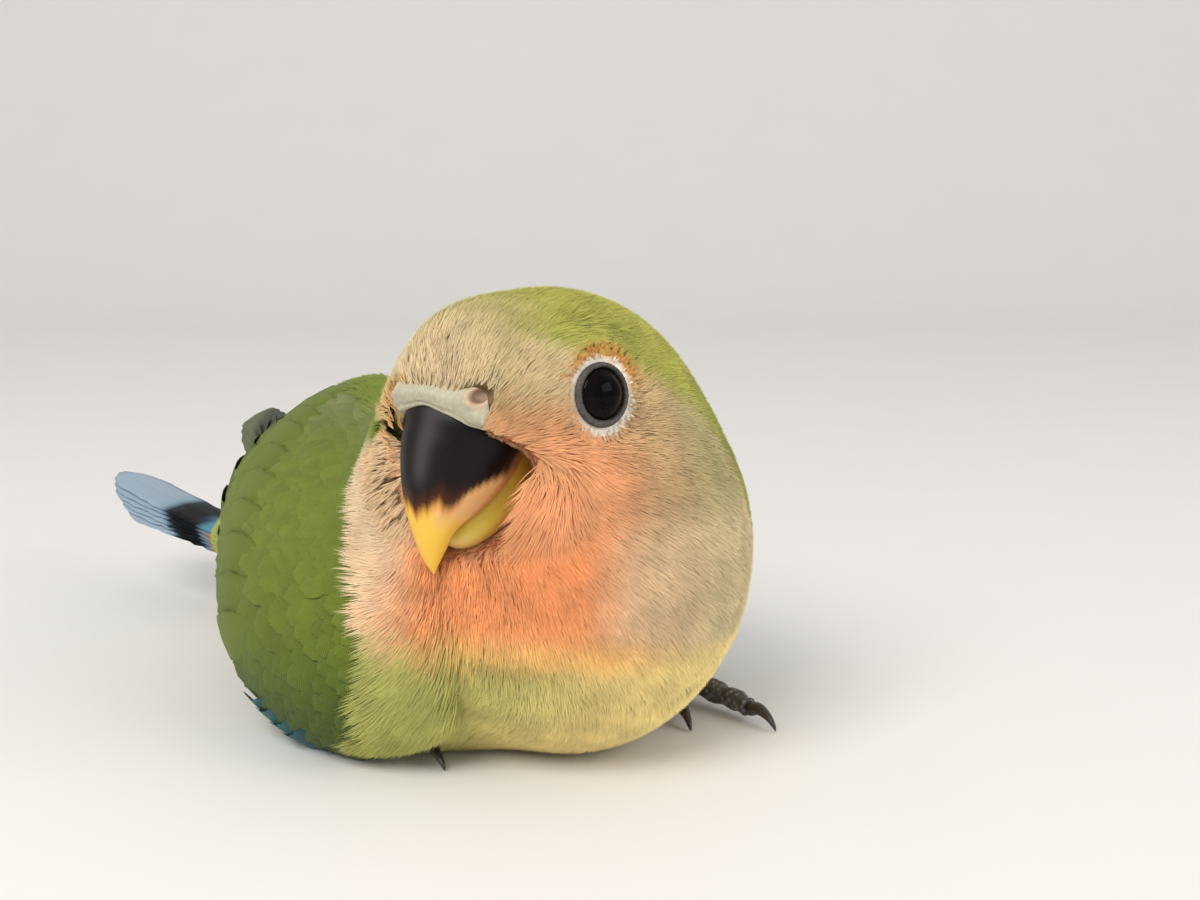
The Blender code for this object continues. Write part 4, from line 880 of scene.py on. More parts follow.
def makeWing(word, side, softMaterial, stiffMaterial):
    chart = WingChart(side)
    pieces = []
    # the flesh and under plumage of the wing
    bm = bmesh.new()
    bmesh.ops.create_uvsphere(bm, u_segments=72, v_segments=44, radius=1.0)
    bmesh.ops.rotate(bm, cent=(0, 0, 0), matrix=Matrix.Rotation(math.radians(90), 3, "X"), verts=bm.verts)
    d = unit(np.array([v.co[:] for v in bm.verts]))
    share = (d[:, 1] + 1) / 2
    mixed = lambda pair: pair[0] + (pair[1] - pair[0]) * share
    alongs = wing["middle"] + wing["halfLength"] * d[:, 1]
    angles = mixed(wing["middleAngle"]) + mixed(wing["halfAngle"]) * d[:, 2]
    half = mixed(wing["thickness"]) / 2
    level = mixed(wing["outer"]) - half + half * np.sign(d[:, 0]) * np.abs(d[:, 0]) ** wing["flatness"] * side
    p, n = chart.place(alongs, angles, level)
    p[:, 2] = np.maximum(p[:, 2], 0.4 * mm)
    for vert, q in zip(bm.verts, p):
        vert.co = q
    bmesh.ops.recalc_face_normals(bm, faces=bm.faces)
    bmesh.ops.triangulate(bm, faces=bm.faces)
    tris = np.array([[v.index for v in f.verts] for f in bm.faces])
    bm.free()
    base = mixTo(np.tile(wingPaint["greenDark"], (len(p), 1)), wingPaint["green"], smooth(-30, 20, angles))
    # painted shade: the wing's under layer is coloured 20% darker than its greens, standing in for the shade beneath
    # the wing's feathers
    under = fastMesh(f"wing{word}Under", p, [tris], base * 0.8, chart.unwrap(alongs, angles), softMaterial)
    pieces.append(under)

    def tier(name, spec):
        count, rootA, rootB, tipA, tipB, width, level, bow = spec
        rng = np.random.default_rng(300 + int(side) + len(name))
        lines, normals, widths, uvs = [], [], [], []
        for i in range(count):
            f = i / (count - 1)
            root = np.array(rootA) + (np.array(rootB) - np.array(rootA)) * f
            tip = np.array(tipA) + (np.array(tipB) - np.array(tipA)) * f + rng.uniform(-0.5, 0.5, 2)
            s = np.linspace(0, 1, 24)
            a = root[0] + (tip[0] - root[0]) * s
            b = root[1] + (tip[1] - root[1]) * s + bow * np.sin(math.pi * s)
            lev = level[0] + (level[1] - level[0]) * np.clip(s / 0.6, 0, 1) - 0.02 * i
            p, n = chart.place(a, b, lev)
            lines.append(p)
            normals.append(n)
            widths.append(width * rng.uniform(0.95, 1.05))
            uvs.append(chart.unwrap(np.array(root[0]), np.array(root[1])))
        return lines, normals, widths, uvs

    def primaryColour(k, s, c):
        outer = np.clip(c * side * -1, -1, 1)
        col = mixTo(np.tile(wingPaint["edge"], s.shape + (1,)), wingPaint["black"], 0.75 * smooth(0.3, -0.5, outer) * smooth(1.0, 0.8, s))
        return mixTo(col, wingPaint["tealDeep"], 0.35 * smooth(0.5, 0.0, s))

    def secondaryColour(k, s, c):
        outer = np.clip(c * side * -1, -1, 1)
        col = mixTo(np.tile(wingPaint["green"], s.shape + (1,)), wingPaint["greenDark"], 0.5 * smooth(0.1, -0.7, outer))
        return mixTo(col, wingPaint["greenLight"], 0.35 * smooth(0.6, 1.0, outer))

    def tertialColour(k, s, c):
        return mixTo(np.tile(wingPaint["green"], s.shape + (1,)), wingPaint["grey"], 0.35 * smooth(0.5, 1.0, s))

    def primaryCovertColour(k, s, c):
        return mixTo(np.tile(wingPaint["tealDeep"], s.shape + (1,)), wingPaint["teal"], smooth(0.2, 1.0, s))

    def greaterColour(k, s, c):
        return mixTo(np.tile(wingPaint["green"], s.shape + (1,)), wingPaint["greenLight"], 0.5 * smooth(0.3, 1.0, s))

    looks = {"primary": primaryColour, "secondary": secondaryColour, "tertial": tertialColour, "primaryCovert": primaryCovertColour, "greaterCovert": greaterColour}
    for number, (name, spec) in enumerate(wing["tiers"].items()):
        lines, normals, widths, uvs = tier(name, spec)
        obj = vanes(f"{name}s{word}", lines, normals, widths, looks[name], uvs, stiffMaterial, 500 + number, math.radians(5.0) * side)
        pieces.append(obj)
    # small coverts in rows over the arm
    rng = np.random.default_rng(77 + int(side))
    rows = []
    for row, start in enumerate(np.arange(-8.0, 24.0, wing["rowStep"])):
        lowest, highest = np.interp(start, wing["coverAlong"], wing["coverLowest"]), np.interp(start, wing["coverAlong"], wing["coverHighest"])
        step = np.interp(start, [-6.0, 24.0], wing["roundStep"])
        b = np.arange(lowest + (row % 2) * step / 2, highest, step)
        slant = np.interp(b, [-36, 10, 70], [2.0, 0.0, -1.0])
        rows.append(np.stack([start + slant + rng.uniform(-0.35, 0.35, len(b)), b + rng.uniform(-0.7, 0.7, len(b))], axis=1))
    rows = np.concatenate(rows)[::-1]
    a, b = rows[:, 0], rows[:, 1]
    a = a + (np.interp(b, wing["frontAngle"], wing["frontLine"]) + 7.5) * smooth(12.0, -8.0, a)
    p, n = chart.place(a, b, np.full(len(a), 0.2))
    clear = ((p - headMiddle) @ neckWay < -2.4 * mm) & (hollowGap(toHead(p)) > 3.4 * mm)  # none in the head's plumage or over its hollow
    a, b, p, n = a[clear], b[clear], p[clear], n[clear]
    ahead, _ = chart.place(a + 1.5, b - 1.6, np.full(len(a), 0.2))
    way = unit(along(ahead - p, n))
    length = np.interp(a, [-6, 4, 18, 26], [3.7, 5.1, 6.9, 7.4]) * mm * rng.uniform(0.92, 1.08, len(a))
    width = np.interp(a, [-6, 4, 18, 26], [2.8, 3.8, 5.2, 5.8]) * mm * rng.uniform(0.92, 1.08, len(a))
    col = mixTo(np.tile(wingPaint["green"], (len(a), 1)), wingPaint["greenLight"], smooth(-12, 15, b) * smooth(50, 30, b) * 0.6)
    col = mixTo(col, wingPaint["greenDark"], smooth(-2, -28, b) * 0.75)
    col = mixTo(col, wingPaint["grey"], smooth(34, 58, b) * 0.45)
    obj = scales(f"coverts{word}", p, n, way, length, width, 0.1 * mm, 0.95 * mm, col, stiffMaterial, 91 + int(side), chart.unwrap(a, b))
    pieces.append(obj)
    for item in pieces:
        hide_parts(f"wing_{word.lower()}")


softWing = plumeMaterial("coverts", 0.75)
stiffWing = vaneMaterial("flightFeathers")
for word, side in sides.items():
    makeWing(word.capitalize(), side, softWing, stiffWing)
print("wings done")

growCoat()
print("coat done")


# ---- tail ----
def makeTail():
    m = vaneMaterial("tailFeathers", 0.55)
    blue, black, pale, green, red = paint("#5F9BB0"), paint("#07090C"), paint("#A4B6C4"), paint("#5E8F6A"), paint("#D9714A")
    half = (tail["feathers"] - 1) / 2
    lines, normals, widths, uvs = [], [], [], []
    for i in range(tail["feathers"]):
        out = (i - half) / half
        way = tailWay(math.radians(tail["spread"]) * out)
        length = tail["length"][0] + (tail["length"][1] - tail["length"][0]) * abs(out) ** 1.4
        s = np.linspace(0, 1, tail["stations"])
        far = (tail["start"] + (length - tail["start"]) * s) * mm
        p = np.array(tail["pivot"]) * mm + np.outer(far, way)
        p[:, 2] -= tail["drop"] * mm * abs(out) * (0.35 + 0.65 * s)
        lines.append(p)
        normals.append(np.tile(unit(np.array([0.16 * out, 0.0, 1.0])), (len(s), 1)))
        widths.append(tail["width"])
        uvs.append(np.array([0.1 + 0.065 * i, 0.3]))

    def colourAt(k, s, c):
        out = abs(k - half) / half
        col = mixTo(np.tile(green, s.shape + (1,)), blue, smooth(0.1, 0.4, s))
        if out > 0.2:
            col = mixTo(col, red, smooth(0.10, 0.2, s) * smooth(0.42, 0.34, s) * 0.8)
        col = mixTo(col, black, smooth(tail["bandFrom"] - 0.03, tail["bandFrom"] + 0.02, s + 0.02 * np.abs(c)) * smooth(tail["bandTo"] + 0.05, tail["bandTo"] - 0.01, s))
        return mixTo(col, pale, smooth(tail["bandTo"], tail["bandTo"] + 0.06, s))

    obj = vanes("tailFeathers", lines, normals, widths, colourAt, uvs, m, 900, 0.0)
    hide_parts("tail")


makeTail()
print("tail done")


# ---- bill and cere ----
bill = {
    "upper": {
        "outer": ((9.0, 3.2), (16.6, 4.2), (18.6, 1.4), (19.4, -2.4), (19.3, -6.2), (18.7, -9.6), (17.8, -12.0)),
        "meeting": ((6.0, 0.4), (10.4, -1.2), (11.6, -3.4), (13.1, -5.5), (14.7, -7.2), (15.8, -8.8), (16.4, -11.1)),
        "halfWidth": (5.6, 6.6, 6.0, 4.9, 3.7, 2.3, 1.2), "tip": (16.9, -13.4),
    },
    "lower": {
        "outer": ((4.5, -7.0), (8.0, -9.4), (10.8, -11.1), (13.0, -11.6), (14.7, -10.8)),
        "meeting": ((5.6, -0.5), (9.7, -2.1), (10.9, -4.3), (12.4, -6.4), (14.0, -8.2)),
        "halfWidth": (4.0, 4.9, 4.5, 3.6, 2.2), "tip": (15.2, -9.8),
    },
    "around": 48, "along": 60,
}


def curveThrough(points, t):  # Catmull-Rom through the named sizes
    p = np.array(points, float)
    if p.ndim == 1:
        p = p[:, None]
    ends = np.concatenate([[2 * p[0] - p[1]], p, [2 * p[-1] - p[-2]]])
    x = np.clip(t, 0, 1) * (len(p) - 1)
    i = np.minimum(x.astype(int), len(p) - 2)
    f = (x - i)[:, None]
    a, b, c, d = ends[i], ends[i + 1], ends[i + 2], ends[i + 3]
    return 0.5 * ((2 * b) + (c - a) * f + (2 * a - 5 * b + 4 * c - d) * f ** 2 + (3 * b - a - 3 * c + d) * f ** 3)


def makeBillHalf(name, form, node, upper):
    rows = bill["along"]
    t = np.linspace(0, 1, rows)
    outer = curveThrough(list(form["outer"]) + [form["tip"]], t)
    meeting = curveThrough(list(form["meeting"]) + [form["tip"]], t)
    half = curveThrough(list(form["halfWidth"]) + [0.12], t)[:, 0]
    around = bill["around"]
    a = math.pi * (np.arange(around) / (around - 1) - 0.5)
    points, heights = [], []
    for k in range(rows):
        arch = outer[k] - meeting[k]
        size = max(np.linalg.norm(arch), 0.12)
        way = arch / max(np.linalg.norm(arch), 1e-6)
        high = np.cos(a) ** 0.78 * size
        forward = meeting[k][0] + way[0] * high
        up = meeting[k][1] + way[1] * high
        points.append(np.stack([np.sin(a) * half[k], -forward, up], axis=1))
        heights.append(np.full(around, t[k]))
    points = np.concatenate(points) * mm
    t = np.concatenate(heights)
    index = np.arange(rows * around).reshape(rows, around)
    faces = [np.stack([index[:-1, :-1], index[:-1, 1:], index[1:, 1:], index[1:, :-1]], axis=-1).reshape(-1, 4)]
    close = np.stack([index[:-1, -1], index[:-1, 0], index[1:, 0], index[1:, -1]], axis=-1)
    faces.append(close)
    c = np.tile(a / math.pi * 2, rows)
    # grey is the colour of the painted highlight on the upper bill
    black, brown, orange, yellow, cream, grey = paint("#120B0B"), paint("#45200F"), paint("#CB7A2C"), paint("#EFC04A"), paint("#E4AF72"), paint("#5C5456")
    z = points[:, 2] / mm
    rng = np.random.default_rng(5)
    if upper:
        jag = 0.8 * np.sin(c * 9.5 + 0.9) + 0.5 * np.sin(c * 23.0 + 1.0) + 0.25 * np.sin(c * 51.0)
        level = z + 0.55 * jag - 1.2 * np.abs(c) ** 2
        edge = 0.965 - 0.22 * smooth(-2.5, -5.5, z)  # the pale edge widens towards the tip
        dark = smooth(edge + 0.05, edge - 0.06, np.abs(c) + 0.02 * jag)
        col = mixTo(np.tile(yellow, (len(points), 1)), cream, smooth(-9.0, -6.5, z) * smooth(0.2, 0.6, np.abs(c)))
        col = mixTo(col, orange, smooth(-7.6, -6.4, level) * 0.55 * dark)
        col = mixTo(col, brown, smooth(-6.9, -5.6, level) * dark)
        col = mixTo(col, black, smooth(-5.9, -3.8, level) * dark)
        # painted highlight: a soft grey streak down the upper bill beside the culmen, standing in for the reflection of
        # the light
        col = mixTo(col, grey, 0.5 * np.exp(-((c - 0.12) / 0.12) ** 2) * smooth(-5.0, -2.0, z))
    else:
        col = mixTo(np.tile(paint("#F0D27C"), (len(points), 1)), paint("#E6CE5A"), smooth(0.3, 0.9, np.abs(c)))
    m, nodes, links, shader = newMaterial(name + "Horn")
    colour = nodes.new("ShaderNodeVertexColor")
    colour.layer_name = "plume"
    place = nodes.new("ShaderNodeTexCoord")
    stretch = nodes.new("ShaderNodeMapping")
    stretch.inputs["Scale"].default_value = (900.0, 900.0, 160.0)
    grain = nodes.new("ShaderNodeTexNoise")
    grain.inputs["Scale"].default_value = 1.0
    grain.inputs["Detail"].default_value = 4.0
    bump = nodes.new("ShaderNodeBump")
    bump.inputs["Strength"].default_value = 0.35
    bump.inputs["Distance"].default_value = 0.00008
    rough = nodes.new("ShaderNodeMapRange")
    rough.inputs["To Min"].default_value = 0.28
    rough.inputs["To Max"].default_value = 0.5
    links.new(place.outputs["Object"], stretch.inputs["Vector"])
    links.new(stretch.outputs["Vector"], grain.inputs["Vector"])
    links.new(grain.outputs["Fac"], bump.inputs["Height"])
    links.new(grain.outputs["Fac"], rough.inputs["Value"])
    links.new(rough.outputs["Result"], shader.inputs["Roughness"])
    links.new(bump.outputs["Normal"], shader.inputs["Normal"])
    links.new(colour.outputs["Color"], shader.inputs["Base Color"])
    shader.inputs["Specular IOR Level"].default_value = 0.18
    obj = fastMesh(name, fromHead(points), faces, col, np.stack([0.05 + 0.9 * (c + 1) / 2, 0.05 + 0.9 * t], axis=1), m)
    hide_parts(node)
    return obj


makeBillHalf("billUpper", bill["upper"], "bill_upper", True)
makeBillHalf("billLower", bill["lower"], "bill_lower", False)

def makeCere():
    turns = np.linspace(-cere["turns"][-1], cere["turns"][-1], cere["around"])
    v = np.linspace(0, 1, cere["across"])
    T, V = np.meshgrid(turns, v, indexing="ij")
    inner, outer = np.interp(np.abs(T), cere["turns"], cere["inner"]), np.interp(np.abs(T), cere["turns"], cere["outer"])
    span = np.clip(V / 0.62, 0, 1)
    wall = np.clip((V - 0.62) / 0.38, 0, 1)
    reach = outer + (inner - outer) * span - 0.9 * np.sin(wall * math.pi / 2)
    x, z = reach * np.sin(np.radians(T)), cere["height"] + reach * np.cos(np.radians(T))
    low, high = np.full(x.size, -24.0), np.full(x.size, -4.0)
    for i in range(18):  # the face's front at each place
        y = (low + high) / 2
        inside = bodyGap(fromHead(np.stack([x.reshape(-1), y, z.reshape(-1)], axis=1) * mm), False) < 0
        low, high = np.where(inside, low, y), np.where(inside, y, high)
    front = ((low + high) / 2).reshape(x.shape)
    fade = smooth(cere["turns"][-1], 52.0, np.abs(T))
    swell = 1.0 + 0.5 * np.exp(-((np.abs(T) - 42.0) / 12.0) ** 2)
    proud = (-0.5 + (0.5 + cere["proud"] * swell * fade) * np.sin(np.clip(span / 0.45, 0, 1) * math.pi / 2))
    proud = proud - 0.35 * smooth(0.75, 1.0, span) - 1.5 * smooth(52.0, 68.0, np.abs(T) + 8.0 * (T < 0))  # it sinks in under the cheek, more where the shoulder presses
    y = front - proud + cere["wall"] * wall ** 1.6
    p = np.stack([x, y, z], axis=-1).reshape(-1, 3)
    for side in sides.values():  # the nostrils: a raised rim round a pit
        spot = np.array(cere["nostril"]) * [side, 1, 1]
        r = np.linalg.norm((p - spot) * [1.0, 0.6, 1.0], axis=1)
        pit = -1.1 * np.exp(-(r / cere["nostrilRadius"]) ** 4) + 0.22 * np.exp(-((r - 1.05) / 0.3) ** 2)
        p = p + np.outer(pit, unit(np.array([side * 0.35, -0.9, 0.25])))
    rows = len(turns)
    index = np.arange(rows * cere["across"]).reshape(rows, -1)
    faces = [np.stack([index[:-1, :-1], index[1:, :-1], index[1:, 1:], index[:-1, 1:]], axis=-1).reshape(-1, 4)]
    skin, flake, rim, pit = (paint(cere[key]) for key in ("skin", "flake", "rim", "pit"))
    col = mixTo(np.tile(skin, (len(p), 1)), flake, smooth(0.42, 0.1, V.reshape(-1)) * 0.7 + smooth(0.5, 0.62, V.reshape(-1)) * 0.5)
    for side in sides.values():
        spot = np.array(cere["nostril"]) * [side, 1, 1]
        r = np.linalg.norm((p - spot) * [1.0, 0.6, 1.0], axis=1)
        col = mixTo(col, rim, smooth(1.5, 0.95, r) * 0.85)
        # painted shade: the nostril's pit is painted dark, standing in for the shadow in its opening
        col = mixTo(col, pit, smooth(0.85, 0.55, r))
    m, nodes, links, shader = newMaterial("cereSkin")
    colour = nodes.new("ShaderNodeVertexColor")
    colour.layer_name = "plume"
    place = nodes.new("ShaderNodeTexCoord")
    flakes = nodes.new("ShaderNodeTexVoronoi")
    flakes.inputs["Scale"].default_value = 1900.0
    tone = nodes.new("ShaderNodeMapRange")
    tone.inputs["To Min"].default_value = 1.08
    tone.inputs["To Max"].default_value = 0.82
    tint = nodes.new("ShaderNodeVectorMath")
    tint.operation = "SCALE"
    bump = nodes.new("ShaderNodeBump")
    bump.inputs["Strength"].default_value = 0.6
    bump.inputs["Distance"].default_value = 0.0001
    bump.invert = True
    links.new(place.outputs["Object"], flakes.inputs["Vector"])
    links.new(flakes.outputs["Distance"], tone.inputs["Value"])
    links.new(colour.outputs["Color"], tint.inputs[0])
    links.new(tone.outputs["Result"], tint.inputs["Scale"])
    links.new(tint.outputs["Vector"], shader.inputs["Base Color"])
    links.new(flakes.outputs["Distance"], bump.inputs["Height"])
    links.new(bump.outputs["Normal"], shader.inputs["Normal"])
    shader.inputs["Roughness"].default_value = 0.6
    shader.inputs["Subsurface Weight"].default_value = 0.15
    shader.inputs["Subsurface Radius"].default_value = (0.001, 0.0005, 0.0003)
    uv = np.stack([0.03 + 0.94 * (T.reshape(-1) / cere["turns"][-1] + 1) / 2, 0.03 + 0.94 * V.reshape(-1)], axis=1)
    obj = fastMesh("cereSkin", fromHead(p * mm), faces, col, uv, m)
    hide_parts("cere")


makeCere()
print("bill done")


# ---- eyes and lids ----
def makeEye(word, side):
    middle, way = eyeSpot(side)
    depth = math.sqrt(eyes["radius"] ** 2 - eyes["opening"] ** 2) * mm
    centre = fromHead(middle - way * depth)[0]
    look = turnFromHead(way[None])[0]
    bm = bmesh.new()
    bmesh.ops.create_uvsphere(bm, u_segments=64, v_segments=40, radius=1.0)
    turn = Vector(look).to_track_quat("Z", "Y").to_matrix()
    bmesh.ops.rotate(bm, cent=(0, 0, 0), matrix=turn, verts=bm.verts)
    d = np.array([v.co[:] for v in bm.verts])
    faceOn = d @ look
    swell = 1.0 + 0.05 * smooth(0.80, 0.95, faceOn)
    for vert, q in zip(bm.verts, centre + d * (eyes["radius"] * mm * swell)[:, None]):
        vert.co = q
    bmesh.ops.triangulate(bm, faces=bm.faces)
    tris = np.array([[v.index for v in f.verts] for f in bm.faces])
    p = np.array([v.co[:] for v in bm.verts])
    bm.free()
    off = np.degrees(np.arccos(np.clip(faceOn, -1, 1)))
    col = np.tile(paint("#070606"), (len(p), 1))
    col = mixTo(col, paint("#0E0A09"), smooth(27, 31, off))
    m, nodes, links, shader = newMaterial("eye" + word)
    colour = nodes.new("ShaderNodeVertexColor")
    colour.layer_name = "plume"
    place = nodes.new("ShaderNodeTexCoord")
    fibres = nodes.new("ShaderNodeTexNoise")
    fibres.inputs["Scale"].default_value = 2200.0
    shade = nodes.new("ShaderNodeMapRange")
    shade.inputs["To Min"].default_value = 0.6
    shade.inputs["To Max"].default_value = 1.4
    tint = nodes.new("ShaderNodeVectorMath")
    tint.operation = "SCALE"
    links.new(place.outputs["Object"], fibres.inputs["Vector"])
    links.new(fibres.outputs["Fac"], shade.inputs["Value"])
    links.new(colour.outputs["Color"], tint.inputs[0])
    links.new(shade.outputs["Result"], tint.inputs["Scale"])
    links.new(tint.outputs["Vector"], shader.inputs["Base Color"])
    shader.inputs["Roughness"].default_value = 0.05
    shader.inputs["IOR"].default_value = 1.36
    shader.inputs["Specular IOR Level"].default_value = 0.1
    ball = fastMesh("eyeBall" + word, p, [tris], col, np.stack([0.5 + 0.4 * (d @ np.array(turn)[:, 0]), 0.5 + 0.4 * (d @ np.array(turn)[:, 1])], axis=1), m)
    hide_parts(f"eye_{word.lower()}")
    # the lids: a bare wrinkled ring, a little wider low at the back
    ringCentre = fromHead(middle)[0]
    turnM = np.array(turn)
    around, across = 144, 16
    rows = []
    rng = np.random.default_rng(12)
    for i in range(around):
        a = 2 * math.pi * i / around
        out = turnM @ np.array([math.cos(a), math.sin(a), 0.0])
        wide = eyes["lidWidth"] * (1.0 + 0.25 * math.cos(a - 3.9))
        wrinkle = 1 + 0.10 * math.sin(a * 31) + 0.07 * math.sin(a * 53 + 1.3)
        b = np.arange(across) * 2 * math.pi / across
        r = eyes["opening"] + wide / 2 * 0.9 + wide / 2 * np.cos(b)
        h = eyes["lidHeight"] * np.sin(b) * wrinkle
        rows.append(ringCentre + np.outer(r, out) * mm + np.outer(h, look) * mm)
    p = np.concatenate(rows)
    index = np.arange(around * across).reshape(around, across)
    index = np.concatenate([index, index[:1]], axis=0)
    index = np.concatenate([index, index[:, :1]], axis=1)
    faces = [np.stack([index[:-1, :-1], index[:-1, 1:], index[1:, 1:], index[1:, :-1]], axis=-1).reshape(-1, 4)]
    m, nodes, links, shader = newMaterial("lids" + word)
    place = nodes.new("ShaderNodeTexCoord")
    noise = nodes.new("ShaderNodeTexNoise")
    noise.inputs["Scale"].default_value = 2600.0
    noise.inputs["Detail"].default_value = 4.0
    ramp = nodes.new("ShaderNodeValToRGB")
    ramp.color_ramp.elements[0].color = (*paint("#151210"), 1.0)
    ramp.color_ramp.elements[1].color = (*paint("#5F5750"), 1.0)
    bump = nodes.new("ShaderNodeBump")
    bump.inputs["Strength"].default_value = 0.7
    bump.inputs["Distance"].default_value = 0.00012
    links.new(place.outputs["Object"], noise.inputs["Vector"])
    links.new(noise.outputs["Fac"], ramp.inputs["Fac"])
    links.new(ramp.outputs["Color"], shader.inputs["Base Color"])
    links.new(noise.outputs["Fac"], bump.inputs["Height"])
    links.new(bump.outputs["Normal"], shader.inputs["Normal"])
    shader.inputs["Roughness"].default_value = 0.5
    ring = fastMesh("lids" + word, p, faces, None, None, m)


for word, side in sides.items():
    makeEye(word.capitalize(), side)
print("eyes done")


# ---- feet ----
feet = {
    "heel": (11.5, 8.5, 3.1), "middle": (18.6, -3.6, 2.2), "rightShift": (4.4, 11.0, 0.0),
    "tarsusRadius": 1.75, "toeRadius": 1.55, "clawLength": 4.6, "clawRadius": 0.85,
    "toes": {
        "outer_front": ((19.6, -6.6, 2.6), (20.4, -10.0, 2.1), (20.8, -13.4, 1.9), (20.8, -15.8, 1.6)),
        "inner_front": ((16.8, -5.6, 2.4), (15.2, -8.0, 2.0), (14.4, -10.4, 1.6)),
        "outer_rear": ((20.8, -0.6, 2.3), (21.9, 3.2, 2.0), (22.2, 6.6, 1.6)),
        "inner_rear": ((16.2, -1.8, 2.2), (14.1, -0.8, 1.9), (12.3, 0.1, 1.6)),
    },
    "skin": "#4A4644", "skinPale": "#8A847C", "claw": "#26221F",
}


def footPoint(q, side):
    shift = feet["rightShift"] if side < 0 else (0.0, 0.0, 0.0)
    return np.array([side * (q[0] - shift[0]), q[1] + shift[1], q[2]])


def limb(path, radii, around=20, rows=60, scutes=0.0, rate=9.0):
    t = np.linspace(0, 1, rows)
    line = curveThrough(path, t)
    r = curveThrough(radii, t)[:, 0]
    way = unit(np.gradient(line, axis=0))
    aside = unit(np.cross(way, [0.0, 0.0, 1.0]))
    up = np.cross(aside, way)
    length = np.concatenate([[0], np.cumsum(np.linalg.norm(np.diff(line, axis=0), axis=1))])
    ends = np.sqrt(np.clip(1 - np.clip((0.04 - t) / 0.04, 0, 1) ** 2, 0.02, 1)) * np.sqrt(np.clip(1 - np.clip((t - 0.96) / 0.04, 0, 1) ** 2, 0.02, 1))
    a = np.arange(around) * 2 * math.pi / around
    plates = np.abs(np.sin(length * math.pi / 2.0 * rate / 5.0))[:, None] * np.clip(np.sin(a) * 1.4, 0.0, 1.0)[None, :]
    rr = (r * ends)[:, None] * (1 + scutes * (plates - 0.5))
    p = line[:, None, :] + aside[:, None, :] * (rr * np.cos(a))[..., None] + up[:, None, :] * (rr * np.sin(a))[..., None]
    p[..., 2] = np.maximum(p[..., 2], 0.0)
    index = np.arange(rows * around).reshape(rows, around)
    index = np.concatenate([index, index[:, :1]], axis=1)
    quads = np.stack([index[:-1, :-1], index[1:, :-1], index[1:, 1:], index[:-1, 1:]], axis=-1).reshape(-1, 4)
    return p.reshape(-1, 3) * mm, quads


def footMaterial():
    m, nodes, links, shader = newMaterial("footSkin")
    place = nodes.new("ShaderNodeTexCoord")
    scales = nodes.new("ShaderNodeTexVoronoi")
    scales.inputs["Scale"].default_value = 1500.0
    ramp = nodes.new("ShaderNodeValToRGB")
    ramp.color_ramp.elements[0].color = (*paint(feet["skinPale"]), 1.0)
    ramp.color_ramp.elements[0].position = 0.1
    ramp.color_ramp.elements[1].color = (*paint(feet["skin"]), 1.0)
    ramp.color_ramp.elements[1].position = 0.55
    bump = nodes.new("ShaderNodeBump")
    bump.inputs["Strength"].default_value = 0.8
    bump.inputs["Distance"].default_value = 0.00012
    bump.invert = True
    links.new(place.outputs["Object"], scales.inputs["Vector"])
    links.new(scales.outputs["Distance"], ramp.inputs["Fac"])
    links.new(ramp.outputs["Color"], shader.inputs["Base Color"])
    links.new(scales.outputs["Distance"], bump.inputs["Height"])
    links.new(bump.outputs["Normal"], shader.inputs["Normal"])
    shader.inputs["Roughness"].default_value = 0.55
    return m


def clawMaterial():
    m, nodes, links, shader = newMaterial("clawHorn")
    place = nodes.new("ShaderNodeTexCoord")
    noise = nodes.new("ShaderNodeTexNoise")
    noise.inputs["Scale"].default_value = 700.0
    ramp = nodes.new("ShaderNodeValToRGB")
    ramp.color_ramp.elements[0].color = (*paint("#171412"), 1.0)
    ramp.color_ramp.elements[1].color = (*paint("#4B4038"), 1.0)
    links.new(place.outputs["Object"], noise.inputs["Vector"])
    links.new(noise.outputs["Fac"], ramp.inputs["Fac"])
    links.new(ramp.outputs["Color"], shader.inputs["Base Color"])
    shader.inputs["Roughness"].default_value = 0.3
    return m


footSkin = footMaterial()
clawHorn = clawMaterial()
for word, side in sides.items():
    meshes = []
    heel, middle = footPoint(feet["heel"], side), footPoint(feet["middle"], side)
    shank = [heel + (middle - heel) * s for s in (0.0, 0.25, 0.5, 0.75, 1.0)]
    meshes.append(limb(shank, [feet["tarsusRadius"] * w for w in (0.8, 1.1, 0.95, 1.05, 1.05)], 24, 90, 0.10, 5.0))
    for toe, points in feet["toes"].items():
        path = [middle] + [footPoint(q, side) for q in points]
        steps = np.linspace(0, len(path) - 1, 2 * len(path) - 1)
        line = np.stack([np.interp(steps, range(len(path)), np.array(path)[:, k]) for k in range(3)], axis=1)
        radii = feet["toeRadius"] * (1.0 - 0.28 * steps / steps[-1]) * (1.0 + 0.10 * np.cos(2 * math.pi * steps))
        meshes.append(limb(line, radii, 20, 90, 0.12, 6.0))
        way = unit(line[-1] - line[-2])
        start = line[-1] + way * 0.1
        curve = [start + way * feet["clawLength"] * s + np.array([0, 0, 0.9 * math.sin(math.pi * s) - 0.6 * s]) for s in (0.0, 0.35, 0.7, 0.92)]
        end = start + way * feet["clawLength"]
        curve.append(np.array([end[0], end[1], 0.14]))
        p, quads = limb(curve, [feet["clawRadius"] * w for w in (1.05, 0.85, 0.55, 0.3, 0.06)], 16, 30)
        claw = fastMesh(f"claw{word.capitalize()}_{toe}", p, [quads], None, None, clawHorn)
        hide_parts(f"claw_{word}_{toe}")
    offset, pts, quads = 0, [], []
    for p, q in meshes:
        pts.append(p)
        quads.append(q + offset)
        offset += len(p)
    foot = fastMesh(f"foot{word.capitalize()}", np.concatenate(pts), [np.concatenate(quads)], None, None, footSkin)
    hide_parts(f"foot_{word}")
print("feet done")


# ---- floor, light and camera ----
room = {"floor": "#F2EEE7", "keyPower": 2.4, "fillPower": 1.0, "worldStrength": 0.62}


